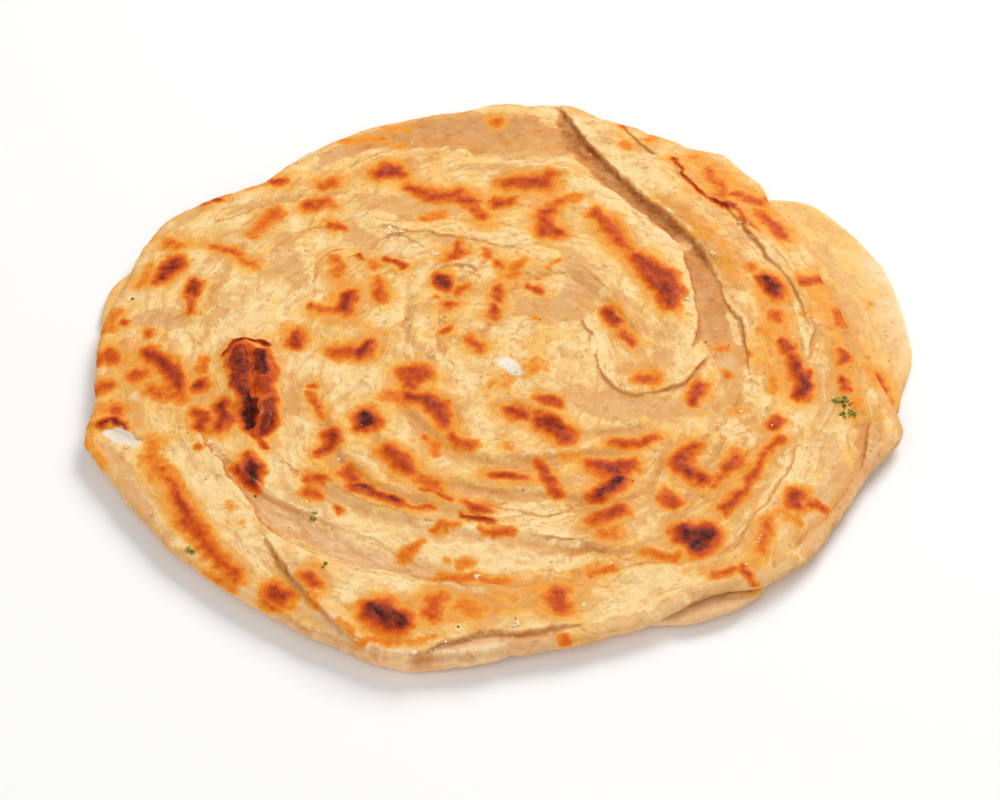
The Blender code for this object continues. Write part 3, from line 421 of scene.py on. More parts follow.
# Tone areas: amount, softness in millimetres, nodes (x, y, radius).
Area = namedtuple("Area", "amount soft path")
RAW_AREAS = entries(
    Area,
    # Back rim.
    (0.90, 2.5, (-50, 77, 2), (-38, 86, 4), (-14, 91, 8), (6, 88, 10), (17, 85, 7)),
    (0.50, 3, (-74, 55, 2.5), (-58, 62, 2.5), (-46, 62, 2)),
    (0.75, 3, (-37, 60, 3), (-26, 57, 5), (-13, 56, 1.5)),
    # Flakes left of the centre.
    (0.75, 2, (-41, 47, 3), (-35, 42, 3)), (0.65, 3, (-60, 44, 3), (-58, 34, 4.5), (-54, 26, 3)),
    (0.65, 2, (-20, 45, 1.5), (-13, 43, 2.5)),
    (0.55, 2, (-73, 35, 2), (-77, 25, 2.5), (-76, 15, 3), (-80, 3, 2)),
    (0.75, 3, (-97, 12, 3), (-86, 12, 3.5)), (0.60, 3, (-50, -11, 2.5), (-54, -22, 3)),
    (0.50, 2, (-44, -14, 2.5)),
    # Middle of the coil.
    (0.45, 2, (-24, 28, 1.5), (-24, 8, 2), (-18, -2, 2)),
    (0.75, 3, (8, 17, 4), (20, 16, 6), (26, 26, 4), (20, 36, 3.5)), (0.50, 3, (33, 22, 3), (40, 10, 3)),
    (0.50, 3, (34, 12, 2), (44, 6, 5), (44, -6, 4), (34, -8, 3)),
    (0.80, 3, (20, -17, 3.5), (30, -21, 5.5), (42, -21, 4.5), (50, -22, 2.5)),
    (0.55, 3, (60, -20, 4), (68, -27, 4)),
    # Valley under the bands on the right, and the deep gap.
    (1.00, 2, (56, 38, 3.5), (58, 24, 4), (59, 10, 4.5), (62, -4, 3.5), (63, -16, 2.5)),
    (1.00, 1.2, (18.5, 97, 1.5), (23, 84, 3), (30.5, 72, 3.4), (38.8, 60, 3.2), (49, 47.5, 3.4)),
    (0.45, 3, (70, -12, 3)), (0.45, 3, (62, 54, 4), (70, 42, 4)),
    # Right rim, with painted shade in the crease inside its roll and on the bottom leaf beside the bread's
    # rim.
    (0.55, 3, (84, -32, 4), (88, -44, 5), (82, -60, 4)),
    (0.65, 2, (97, -26, 1.5), (93, -42, 2), (86, -56, 2), (77, -67, 2)),
    (0.50, 3, (90, 46, 3), (97, 28, 4), (99, 10, 3)),
    # Front gap, and the greyish ground between the front turns.
    (0.90, 2.5, (-68, -43, 1.5), (-60, -54, 3.2), (-49, -64, 3.8), (-36, -71, 3.2), (-22, -76, 2.8),
     (-6, -81, 1.5)),
    (0.65, 1.5, (-42, -52, 1), (-31, -58, 1.6), (-20, -62, 1.2)),
    (0.50, 2, (-16, -46, 1.2), (-6, -40, 1.2), (6, -39, 1.2)),
    (0.50, 2, (-12, -52, 1), (2, -53, 1.4), (20, -47, 1.4)),
    (0.45, 2, (38, -48, 2), (40, -58, 2), (30, -70, 1.5)),
    # Rolled dough along the front rim.
    (0.85, 1.5, (-50, -80, 1), (-42, -92, 1.6), (-34, -101, 2), (-22, -107, 2.5), (-6, -102, 2.8),
     (8, -101, 2.5), (20, -100, 1.5)),
    (0.80, 1.5, (44, -92, 2), (56, -90, 2.5), (64, -88, 1.5)),
    (0.55, 2, (-96, -48, 2), (-88, -62, 2), (-74, -78, 2), (-56, -92, 2)),
)  # fmt: skip
# Plain dough that is paler and greyer.
DUSTY_AREAS = entries(
    Area,
    (1.00, 1.5, (-51, -79, 0.8), (-45, -88, 1.6), (-39, -95.5, 2.2), (-31, -103, 2.6), (-20, -107, 3),
     (-6, -101.5, 2.8), (8, -100.5, 2.2), (18, -99, 1)),
    (0.70, 3, (-66, -46, 2), (-58, -57, 3), (-47, -66, 3.5), (-34, -73, 3), (-20, -77, 2.5)),
    (0.60, 3, (-52, 75, 3), (-36, 87, 3), (-14, 92, 5), (6, 92, 6)), (0.70, 3, (-98, 12, 3), (-88, 11, 3)),
    (0.80, 2, (-105, -32.5, 1), (-100.5, -36, 2), (-96, -43, 2), (-90, -55, 2), (-84, -66, 1.6),
     (-72, -80, 1.6), (-58, -90, 1.6)),
    (0.55, 3, (28, -20, 4), (44, -22, 4)), (0.55, 3, (16, 14, 4), (22, 26, 4)),
    (0.60, 3, (56, 30, 3), (58, 12, 4), (62, -6, 3)), (0.45, 3, (-58, 38, 3), (-54, 24, 3)),
    (0.60, 4, (104, 42, 4), (109, 26, 5), (111, 6, 5)),
    (0.80, 2, (100, -28, 2), (95, -44, 2.5), (86, -62, 2.5), (76, -74, 2)),
    (0.80, 2, (36, -94, 2), (50, -88, 3), (62, -85, 3)),
)  # fmt: skip
# Darker dough in gaps and valleys, partly oil and partly painted shade; negative amounts lighten the
# ground.
DARK_AND_SHADE_AREAS = entries(
    Area,
    # The deep gap, with painted shade darkest right under the band's edge.
    (0.36, 1.5, (18.5, 97, 1), (23, 84, 2.6), (30.5, 72, 3), (38.8, 60, 3), (49, 47.5, 3)),
    (0.16, 2, (22, 90, 0.8), (26, 83.5, 1.2), (29, 78, 0.6)),
    (0.18, 2, (40, 61, 0.6), (44.5, 55.5, 1.6), (50, 50, 1.0)),
    (-0.34, 5, (-54, -54, 5), (-38, -64, 8), (-14, -70, 9), (10, -70, 6)),
    (-0.16, 3, (-66, -44, 2), (-58, -56, 3), (-46, -66, 3), (-30, -74, 3)),
    (-0.16, 3, (28, -20, 5), (46, -22, 5)),
    (-0.26, 3, (-46, -88, 2), (-32, -103, 3), (-18, -107, 3), (4, -102, 3)),
    (-0.20, 4, (106, 36, 4), (111, 10, 5)), (0.20, 2, (55, 38, 3), (58, 26, 3), (60, 10, 3)),
    # Painted shade on the flank of the band beside it.
    (0.20, 3, (48, 60, 2.5), (56, 50, 3), (62, 40, 2.5)),
    # Lighter ground.
    (-0.16, 4, (-68, 24, 4), (-58, 36, 5)), (-0.30, 3, (84, -34, 4), (90, -42, 4), (78, -60, 4)),
    (-0.15, 4, (104, 44, 6), (108, 24, 7), (110, 4, 7)),
    (-0.10, 4, (-62, -54, 4), (-46, -68, 4), (-20, -78, 4)), (0.14, 4, (30, -22, 6), (46, -22, 5)),
    (0.24, 4, (-40, 86, 5), (-14, 90, 8), (8, 90, 8), (20, 86, 5)),
)  # fmt: skip
WARM_AREAS = entries(
    Area,
    # Left.
    (0.60, 4, (-101, 2, 3), (-92, -8, 6), (-80, -14, 5)),
    (0.50, 3, (-92, 42, 3), (-80, 41, 2.5), (-69, 35, 1.5)), (0.40, 3, (-98, 27, 2.5), (-91, 30, 3.5)),
    (0.35, 3, (-83, 21, 3.5)), (0.45, 4, (-88, -34, 3), (-84, -52, 4), (-74, -66, 4), (-65, -78, 4)),
    (0.35, 4, (-54, -85, 5)), (0.50, 4, (-74, -26, 5)),
    # Flakes left of the centre.
    (0.45, 3, (-44, 32, 3), (-41, 18, 4.5), (-32, 24, 3)),
    (0.45, 3, (-48, 14, 2), (-36, 9, 3), (-26, 5, 2)), (0.40, 3, (-54, 4.5, 3.5)),
    (0.45, 4, (-42, 0, 4), (-34, 1, 4)), (0.40, 3, (-13, 37, 3), (-13, 26, 3), (-12, 18, 3)),
    (0.40, 3, (4, 31, 3), (0, 20, 3), (-2, 12, 2)),
    # Turns in front of the centre.
    (0.55, 4, (-24, -10, 5), (-20, -18, 5), (-12, -30, 5)),
    (0.50, 4, (-28, -38, 4), (-20, -47, 4), (-10, -54, 3)),
    (0.45, 4, (-44, -46, 3), (-34, -50, 3.5), (-22, -57, 3)), (0.40, 4, (-47, -22, 2.5), (-43, -34, 3)),
    (0.45, 4, (2, -20, 3), (12, -26, 4.5), (18, -33, 3.5)),
    (0.45, 4, (-4, -46, 3), (8, -47, 3), (15, -48, 4)), (0.40, 4, (30, -34, 3), (40, -32, 3)),
    (0.55, 4, (26, -43, 4), (34, -43, 4), (27, -52, 5)),
    (0.50, 4, (50, -36, 4), (48, -43, 5), (53, -48, 4)),
    (0.45, 4, (72, -34, 3), (64, -46, 4), (58, -57, 3.5)), (0.45, 4, (28, -60, 4), (29, -67, 4)),
    (0.40, 3, (44, -55, 4)), (0.45, 3, (50, -67, 7)), (0.35, 3, (-20, -72, 3), (-12, -64, 2), (-3, -58, 3)),
    # Upper disc.
    (0.40, 4, (-50, 67, 3), (-38, 70, 3), (-30, 73, 4), (-18, 78, 4)), (0.35, 3, (-66, 50, 3)),
    (0.30, 3, (-50, 58, 4)), (0.45, 4, (-16, 63, 4), (-4, 58, 4), (-2, 47, 4)),
    (0.50, 4, (4, 65, 4), (14, 62, 5), (15, 48, 5)), (0.50, 4, (29, 50, 3.5), (37, 37, 4), (45, 24, 5)),
    (0.35, 3, (32, 12, 3), (36, 4, 3)), (0.30, 3, (12, 4, 4)), (0.35, 3, (39, -10, 4.5)),
    # Bands on the right.
    (0.60, 4, (58, 79, 3), (64, 68, 4.5), (72, 58, 4), (79, 46, 3.5)),
    (0.70, 3, (47, 60, 2.5), (56, 49, 4), (63, 36, 3.5), (66, 26, 2.5)),
    (0.30, 3, (37, 84, 3.5), (46, 83, 3)),
    (0.55, 4, (75, 24, 4.5), (76, 8, 4.5), (76, -8, 6), (82, -14, 3.5)),
    (0.50, 4, (87, 25, 4), (92, 12, 4), (93, -4, 4), (94, -18, 4)),
    (0.50, 3, (102, -6, 2.5), (104, -17, 2)), (0.40, 4, (99, -24, 4), (95, -36, 4), (88, -46, 4)),
    (0.40, 3, (78, -54, 5)), (0.40, 3, (68, -62, 3), (66, -74, 2.5)), (0.40, 3, (53, -16, 3.5)),
    # Front.
    (0.60, 4, (-44, -80, 3), (-26, -92, 6), (-8, -88, 7), (10, -86, 7), (24, -80, 4)),
    (0.30, 3, (48, -79, 2.5), (62, -79, 2)),
    # Creamy places.
    (-0.30, 5, (-66, -52, 4), (-56, -46, 4), (-48, -54, 4), (-36, -62, 5), (-20, -68, 6), (0, -72, 6),
     (12, -66, 5)),
    (-0.40, 4, (-92, -38, 3), (-76, -38, 4), (-72, -52, 4), (-66, -64, 4)),
    (-0.30, 3, (-94, -52, 3), (-86, -64, 3), (-76, -74, 2)),
    (-0.30, 3, (-40, -84, 4), (-22, -84, 4), (-6, -84, 3)),
    (-0.30, 5, (-52, -52, 4), (-40, -58, 4), (-22, -66, 5), (-2, -69, 5), (16, -66, 4)),
    (-0.55, 4, (-68, 24, 4), (-68, 12, 6)), (-0.45, 3, (-83, 38, 3)), (-0.45, 3, (-84, 9, 3)),
    (-0.35, 3, (-55, 20, 3)), (-0.50, 3, (-29, 41, 3), (-23, 39, 3)), (-0.45, 3, (-9, 31, 3), (-3, 34, 3)),
    (-0.40, 3, (-4, 43, 2), (9, 42, 2.5)), (-0.40, 3, (-54, -5, 2), (-45, -6, 3), (-36, -13, 3)),
    (-0.30, 3, (-55, -29, 2.5), (-38, -32, 2)), (-0.35, 4, (-82, -40, 4), (-76, -50, 3)),
    (-0.50, 4, (-64, -70, 3), (-59, -74, 2.5)), (-0.75, 3, (-35, -84, 4), (-31, -79, 2.5)),
    (-0.60, 4, (-18, -74, 3), (-2, -72, 4), (14, -73, 4)),
    (-0.40, 3, (26, -82, 2), (42, -81, 3), (56, -84, 3)), (-0.45, 3, (34, -89, 4)),
    (-0.45, 3, (8, -56, 3), (15, -51, 2.5)), (-0.60, 2.5, (79, -39, 1.8), (76, -47, 1.8)),
    (-0.50, 3, (50, 3, 3), (52, -3, 2)), (-0.45, 3, (32, 86, 2), (38, 76, 3.5), (46, 67, 2.5)),
    (-0.20, 4, (104, 44, 4), (109, 28, 4), (112, 8, 4)),
    (-0.45, 2.5, (27, 66, 1.5), (38, 54, 2), (46, 44, 1.6), (51, 32, 1.4), (52, 14, 1)),
    (-0.40, 2, (24, 15, 1.4), (26, 6, 1.4), (30, -8, 1.4), (40, -14, 1.4)),
    (-0.35, 3, (-6, -27, 3), (-2, -36, 2)), (-0.30, 3, (60, -29, 2.5), (67, -42, 2.5), (60, -62, 2.5)),
)  # fmt: skip
# Pale, floury places. The two at the left notch are a painted highlight, and the whiter rim of the bottom
# leaf on the right is partly painted highlight.
PALE_AREAS = entries(
    Area,
    (1.3, 1.4, (-101.8, -29.8, 1.0), (-98.8, -30.8, 2.1), (-95.5, -31.8, 1.6)),
    (0.85, 2.5, (-97.5, -32, 2.2), (-94.5, -33, 2.6)), (1.0, 1.5, (2.5, -4.5, 2.6), (6, -8, 1.8)),
    (0.45, 3, (-35, -84, 2.5), (-31, -79, 2)), (0.40, 2, (-30, 41, 2), (-24, 39, 2.5)),
    (0.40, 2, (-12, -73, 2.2), (6, -72, 2.2)), (0.30, 3, (-5, 32, 3)),
    (0.60, 4, (105, 40, 3), (111, 24, 3.5), (113, 8, 3.5), (108, -4, 3)),
    (0.50, 2, (104, -30, 1.5), (98, -46, 2), (88, -63, 2), (78, -74, 1.5)),
    (0.60, 1.2, (-12, -99.5, 0.6), (-5, -98, 0.8), (5, -97.5, 0.8)),
    (0.35, 1.5, (-40, -94, 0.8), (-31, -104, 1.2), (-20, -108, 1)), (0.40, 2, (78, -44, 1.2)),
    (0.25, 3, (-6, 79, 3), (8, 80, 2)),
)  # fmt: skip

# Where the crust breaks into the most flakes.
FLAKY_AREAS = entries(
    Area,
    (0.90, 6, (-58, 38, 6), (-42, 34, 8), (-24, 30, 8), (-6, 26, 7)),
    (0.80, 6, (-46, -40, 6), (-32, -54, 7), (-10, -60, 8), (14, -62, 8), (36, -60, 8), (56, -48, 9),
     (66, -34, 8)),
    (0.80, 6, (-22, -72, 5), (0, -74, 6), (24, -74, 5)), (0.70, 6, (-14, -4, 6), (2, 0, 8), (14, -2, 8)),
    (0.70, 6, (80, 24, 6), (84, 4, 8), (70, -16, 8), (54, -24, 6)),
    (0.60, 5, (52, 70, 4), (64, 60, 5), (72, 48, 5)), (0.60, 6, (-84, 30, 6), (-76, 16, 8)),
)  # fmt: skip

# How far plain dough shows at the coiled bread's rim, and how browned the rim's line is: by angle.
RIM_DOUGH = [
    (-180, 0.3), (-166, 0.3), (-156, 0.55), (-135, 0.65), (-122, 0.65), (-114, 0.25), (-100, 0.1),
    (-94, 0.4), (-86, 0.7), (-60, 0.85), (-20, 0.75), (0, 0.4), (30, 0.3), (60, 0.25), (120, 0.15),
    (150, 0.15),
]  # fmt: skip
RIM_BROWN = [
    (-175, 0.15), (-165, 0.35), (-150, 0.10), (-110, 0.0), (-20, 0.0), (20, 0.08), (60, 0.10),
    (100, 0.14), (125, 0.26), (155, 0.26), (170, 0.22),
]  # fmt: skip
# How deep the crease between the flap and the rolled dough under it cuts into the rim: by angle.
RIM_CREASE = [(-128, 0.0), (-118, 0.4), (-104, 0.4), (-98, 0.7), (-92, 0.7), (-84, 0.0), (60, 0.0)]

# Distances from a lip's line at which sampling rows run along it; and its profile, as distances from
# the line with the share of the overhang pushed out over the low side and of the step climbed there.
LIP_ROWS = [-0.75, -0.40, -0.13, 0.13, 0.40, 0.80]
PROFILE_AT = [-1.6, -0.75, -0.40, -0.13, 0.13, 0.40, 0.80, 1.40, 2.40]
PROFILE_OUT = [0.0, -0.05, -0.25, 0.85, 1.00, 0.80, 0.50, 0.20, 0.0]
PROFILE_RISE = [0.0, 0.0, 0.06, 0.55, 0.96, 1.04, 1.03, 1.01, 1.0]
# How far the even grid keeps from a lip's line, how far lips' rows keep from other lips, and how far
# the places of the bread's top keep from where its rounded side begins.
STRIP_CLEAR = 0.95
STRIP_APART = 0.5
RING_CLEAR = 0.45
# Where a lip has faded below this share, it has no rows of its own.
FADED = 0.03
# Lips lower than this break off in places.
THIN_LIP = 1.2


def smooth(share):
    """Eases a share from 0 to 1."""
    share = np.clip(share, 0.0, 1.0)
    return share * share * (3.0 - 2.0 * share)


def hump(value, middle, width):
    """A smooth hump, 1 at the middle and 0.37 at width from it."""
    return np.exp(-(((value - middle) / width) ** 2))


def noise(x, y, size, seed):
    """Smooth noise between about -1 and 1, with features as large as size."""
    side = 128
    grid = np.random.default_rng(seed).uniform(-1.0, 1.0, (side, side))
    u, v = x / size + 512.3, y / size + 512.7
    column, row = np.floor(u).astype(int), np.floor(v).astype(int)
    a, b = smooth(u - column), smooth(v - row)
    near, far = row % side, (row + 1) % side
    left, right = column % side, (column + 1) % side
    low = grid[near, left] * (1 - a) + grid[near, right] * a
    high = grid[far, left] * (1 - a) + grid[far, right] * a
    return low * (1 - b) + high * b


def drawn_out(x, y, size, seed):
    """Noise stretched along the coil's turns."""
    off_x, off_y = x - COIL_X, y - COIL_Y
    radius = np.maximum(np.hypot(off_x, off_y), 2.0 * size)
    total = np.zeros(x.shape)
    for step in (-2, -1, 0, 1, 2):
        turn = 0.8 * step * size / radius
        total += noise(COIL_X + off_x * np.cos(turn) - off_y * np.sin(turn),
                       COIL_Y + off_x * np.sin(turn) + off_y * np.cos(turn), size, seed)
    return total / 3.0


def around(angle_deg, table):
    """The table's value at each angle, with its corners rounded."""
    angles, values = np.array(sorted(table), float).T
    offsets = np.arange(-SMOOTHING_DEG, SMOOTHING_DEG + 1)
    weights = 1.0 + np.cos(np.pi * offsets / (SMOOTHING_DEG + 1))
    found = [np.interp(angle_deg + o, angles, values, period=360) for o in offsets]
    return np.tensordot(weights / weights.sum(), found, axes=1)


def rounded_path(points):
    """The path with its corners cut, as an array of x, y."""
    path = np.array(points, float)
    for _ in range(PATH_ROUNDING):
        nearer = 0.75 * path[:-1] + 0.25 * path[1:]
        further = 0.25 * path[:-1] + 0.75 * path[1:]
        inner = np.stack([nearer, further], axis=1).reshape(-1, path.shape[1])
        path = np.vstack([path[:1], inner, path[-1:]])
    return path


def path_run(path):
    """Length from the path's start to each of its points."""
    return np.concatenate([[0.0], np.cumsum(np.hypot(*np.diff(path[:, :2], axis=0).T))])


def beside(path, x, y):
    """Distance to the path, positive on its left; share of its length there; its left direction."""
    run = path_run(path)
    nearest = np.full(x.shape, np.inf)
    signed, share = np.zeros(x.shape), np.zeros(x.shape)
    left_x, left_y = np.zeros(x.shape), np.zeros(x.shape)
    for start, end, run_start, run_end in zip(path[:-1], path[1:], run[:-1], run[1:]):
        step = end - start
        length = math.hypot(*step)
        along = ((x - start[0]) * step[0] + (y - start[1]) * step[1]) / length**2
        along = np.clip(along, 0.0, 1.0)
        off_x = x - start[0] - along * step[0]
        off_y = y - start[1] - along * step[1]
        distance = np.hypot(off_x, off_y)
        closer = distance < nearest
        side = np.where(step[0] * off_y - step[1] * off_x >= 0, 1.0, -1.0)
        nearest = np.where(closer, distance, nearest)
        signed = np.where(closer, distance * side, signed)
        at = (run_start + along * (run_end - run_start)) / run[-1]
        share = np.where(closer, at, share)
        left_x = np.where(closer, -step[1] / length, left_x)
        left_y = np.where(closer, step[0] / length, left_y)
    return signed, share, left_x, left_y


def blob_depth(path, x, y):
    """Depth inside a chain of round nodes (x, y, radius); negative outside."""
    nodes = [tuple(map(float, node)) for node in path]
    if len(nodes) == 1:
        nodes = nodes * 2
    depth = np.full(x.shape, -np.inf)
    for (x0, y0, r0), (x1, y1, r1) in zip(nodes[:-1], nodes[1:]):
        step_x, step_y = x1 - x0, y1 - y0
        square = max(step_x**2 + step_y**2, 1e-9)
        along = np.clip(((x - x0) * step_x + (y - y0) * step_y) / square, 0.0, 1.0)
        distance = np.hypot(x - x0 - along * step_x, y - y0 - along * step_y)
        depth = np.maximum(depth, r0 + along * (r1 - r0) - distance)
    return depth


def near(path, x, y, reach):
    """Which places lie in the path's box, widened by reach."""
    corners = np.array([node[:2] for node in path], float)
    low, high = corners.min(axis=0) - reach, corners.max(axis=0) + reach
    return (x > low[0]) & (x < high[0]) & (y > low[1]) & (y < high[1])


def fading(share):
    """1 along a path, dying to 0 at both ends."""
    return smooth(np.minimum(share, 1.0 - share) / END_FADE)


def ragged(number, along):
    """How far a lip's torn edge strays from its line, along its length."""
    still = np.zeros_like(along)
    coarse = noise(along, still + 7.3 * number, 5.5, 11)
    fine = noise(along, still + 3.1 * number, 1.6, 12)
    return 0.80 * coarse + 0.35 * fine


def vigour(number, along):
    """Share of its height that a thin lip keeps along its length, so that it breaks off in places."""
    if LIPS[number].height >= THIN_LIP:
        return np.ones_like(along)
    still = np.zeros_like(along)
    return 0.65 + 0.40 * noise(along, still + 5.7 * number, 9.0, 13)


class Lattice:
    """Places on the bread's plan, with the lip that each sampling row belongs to."""

    def __init__(self, x, y, lip=None, offset=None, share=None):
        count = len(x)
        self.x, self.y = np.asarray(x, float), np.asarray(y, float)
        self.lip = np.full(count, -1) if lip is None else lip
        self.offset = np.zeros(count) if offset is None else offset
        self.share = np.zeros(count) if share is None else share

    def take(self, keep):
        """The places that are to be kept."""
        return Lattice(self.x[keep], self.y[keep], self.lip[keep], self.offset[keep],
                       self.share[keep])

    def plus(self, other):
        """These places and then the other ones."""
        join = [np.concatenate(pair) for pair in (
            (self.x, other.x), (self.y, other.y), (self.lip, other.lip),
            (self.offset, other.offset), (self.share, other.share))]
        return Lattice(*join)


def lip_strip(number, lip):
    """The sampling rows along a lip."""
    path = rounded_path(lip.path)
    run = path_run(path)
    count = max(8, int(run[-1] / STRIP_SPACING))
    at = np.linspace(0.0, run[-1], count)
    x, y = np.interp(at, run, path[:, 0]), np.interp(at, run, path[:, 1])
    tangent_x, tangent_y = np.gradient(x), np.gradient(y)
    length = np.hypot(tangent_x, tangent_y)
    keep = fading(at / run[-1]) > FADED
    stray = ragged(number, at)
    rows = Lattice(np.empty(0), np.empty(0), np.empty(0, int), np.empty(0), np.empty(0))
    for offset in LIP_ROWS:
        away = offset + stray
        row = Lattice(x - tangent_y / length * away, y + tangent_x / length * away,
                      np.full(count, number), np.full(count, offset), at / run[-1])
        rows = rows.plus(row.take(keep))
    return rows


def lip_place(number, lip, places):
    """(distance from the torn edge, fade, left direction) of a lip at each place."""
    path = rounded_path(lip.path)
    signed, share, left_x, left_y = beside(path, places.x, places.y)
    length = path_run(path)[-1]
    signed = signed - ragged(number, share * length)
    own = places.lip == number
    signed = np.where(own, places.offset, signed)
    share = np.where(own, places.share, share)
    return signed, fading(share) * vigour(number, share * length), left_x, left_y


def clear_of_lips(places, clear, first=0):
    """Which places keep their distance from every lip's rows, their own lip's apart."""
    keep = np.ones(len(places.x), bool)
    for number, lip in enumerate(LIPS):
        if number < first:
            continue
        close = near(lip.path, places.x, places.y, 3.0) & (places.lip != number)
        some = places.take(close)
        signed, fade, _, _ = lip_place(number, lip, some)
        keep[np.flatnonzero(close)[(np.abs(signed) < clear) & (fade > FADED)]] = False
    return keep


def hex_grid(reach, spacing, seed):
    """Even places over a square, slightly stirred."""
    steps = int(reach / spacing) + 2
    column, row = np.meshgrid(np.arange(-steps, steps), np.arange(-steps, steps))
    x = (column + 0.5 * (row % 2)) * spacing
    y = row * spacing * math.sqrt(3) / 2
    stir = np.random.default_rng(seed).uniform(-0.14, 0.14, (2, x.size)) * spacing
    return x.ravel() + stir[0], y.ravel() + stir[1]


def grid_inside(rim_at, reach, spacing, seed, margin):
    """Even places that lie further than margin inside a rim."""
    places = Lattice(*hex_grid(reach, spacing, seed))
    return places.take(inset_from(rim_at, places) > margin)


def lips_near(places, reach_of):
    """Every lip, which places it reaches, and what lip_place gives for those."""
    for number, lip in enumerate(LIPS):
        close = near(lip.path, places.x, places.y, reach_of(lip))
        yield lip, close, *lip_place(number, lip, places.take(close))


def steps_near(places, reach_of):
    """Every step, which places it reaches, and their distance from its wandering line and its fade."""
    for step in STEPS:
        close = near(step.path, places.x, places.y, reach_of(step))
        x, y = places.x[close], places.y[close]
        signed, share, _, _ = beside(rounded_path(step.path), x, y)
        yield step, close, signed + 1.2 * noise(x, y, 7.0, 14), fading(share)


def sinking(signed, spread):
    """Share of an edge's height that is left behind it."""
    return np.exp(-np.maximum(signed, 0) / spread)


def relief(places):
    """Height of the bread's top over its flat level, and how far each place is pushed sideways."""
    height, push_x, push_y = (np.zeros(len(places.x)) for _ in range(3))
    for lip, close, signed, fade, left_x, left_y in lips_near(places, lambda lip: 4.0 * lip.spread):
        rise = np.interp(signed, PROFILE_AT, PROFILE_RISE)
        height[close] += lip.height * fade * rise * sinking(signed, lip.spread)
        out = lip.overhang * fade * np.interp(signed, PROFILE_AT, PROFILE_OUT)
        push_x[close] -= out * left_x
        push_y[close] -= out * left_y
    for step, close, signed, fade in steps_near(places, lambda step: 4.0 * step.spread):
        rise = smooth(0.5 + signed / step.width)
        height[close] += step.height * fade * rise * sinking(signed, step.spread)
    for fold in FOLDS:
        close = near(fold.path, places.x, places.y, 3.0 * fold.width + 2.0)
        signed, share, _, _ = beside(rounded_path(fold.path), places.x[close], places.y[close])
        height[close] += fold.height * fading(share) * hump(signed, 0.0, fold.width)
    return height, push_x, push_y


def lip_tones(places):
    """Brightness of the lips' edges (pale dough and painted highlight), the doughy tan with painted shade
    under them, and the brown line of painted shade between.
    """
    pale, raw, shade = (np.zeros(len(places.x)) for _ in range(3))
    for lip, close, signed, fade, _, _ in lips_near(places, lambda lip: 8.0):
        broken = 0.65 + 0.5 * noise(places.x[close], places.y[close], 2.6, 57)
        # The edge's brightness is pale dough and painted highlight; the tan under it is dough and painted
        # shade; line is painted shade just under the edge.
        edge = lip.pale * fade * broken * hump(signed, 0.9, 0.6)
        under = lip.raw * fade * np.where(signed < 0.3, np.exp(np.minimum(signed, 0) / 3.2), 0.0)
        line = min(lip.height, 1.0) * fade * hump(signed, -(0.3 + lip.overhang), 0.75)
        pale[close] = np.maximum(pale[close], edge)
        raw[close] = np.maximum(raw[close], under)
        shade[close] = np.maximum(shade[close], line)
    for step, close, signed, fade in steps_near(places, lambda step: 8.0):
        # At a step's foot: doughy tan that is partly painted shade, and a line of painted shade.
        raw[close] = np.maximum(raw[close], 0.95 * step.raw * fade * hump(signed, -1.5, 2.0))
        shade[close] = np.maximum(shade[close], 0.60 * fade * hump(signed, -1.0, 0.8))
    return pale, raw, shade


def warped(x, y, seed):
    """The places, strayed a little so that drawn marks get irregular borders."""
    away_x = 1.0 * noise(x, y, 4.0, seed) + 0.45 * noise(x, y, 1.5, seed + 1)
    away_y = 1.0 * noise(x, y, 4.0, seed + 2) + 0.45 * noise(x, y, 1.5, seed + 3)
    return x + away_x, y + away_y


def browning(x, y):
    """How toasted each place is, from 0 to 1, and how golden it is around the marks."""
    toast, glow = np.zeros(x.shape), np.zeros(x.shape)
    bent_x, bent_y = warped(x, y, 21)
    for mark, spread in [(mark, 1.0) for mark in MARKS] + [(mark, 0.35) for mark in SHARP_MARKS]:
        close = near(mark.path, x, y, 16.0)
        depth = blob_depth(mark.path, bent_x[close], bent_y[close])
        widest = min(max(node[2] for node in mark.path), 3.0)
        fringe = spread * (0.55 + 0.55 * widest)
        climb = np.clip((depth + fringe) / (fringe + 0.68 * spread * widest), 0.0, 1.0)
        toast[close] = np.maximum(toast[close], mark.toast * climb)
        around_it = min(1.0, 1.5 * mark.toast) * smooth(1.0 + (depth + 0.5) / 5.0)
        glow[close] = np.maximum(glow[close], around_it)
    return toast, glow


def area_tone(areas, x, y, add=False):
    """Strength of a set of tone areas at each place."""
    tone = np.zeros(x.shape)
    bent_x, bent_y = warped(x, y, 31)
    for area in areas:
        close = near(area.path, x, y, 20.0)
        depth = blob_depth(area.path, bent_x[close], bent_y[close])
        share = area.amount * smooth(0.5 + depth / (2.0 * area.soft))
        if add:
            tone[close] += share
        else:
            tone[close] = np.maximum(tone[close], share)
    return tone


def flakes(x, y):
    """Thin broken leaves: their height, their bright edges, which are pale dough and painted highlight, and
    the dough under those, which is darker also as painted shade.
    """
    field = drawn_out(x, y, 7.0, 47) + 0.30 * noise(x, y, 3.0, 48) + 0.12 * noise(x, y, 1.3, 49)
    field = 1.7 * field
    rise = field - np.floor(field)
    plenty = 0.3 + 0.7 * area_tone(FLAKY_AREAS, x, y)
    height = 0.50 * plenty * (smooth((rise - 0.38) / 0.16) - rise)
    return height, plenty * hump(rise, 0.56, 0.10), plenty * hump(rise, 0.34, 0.12)


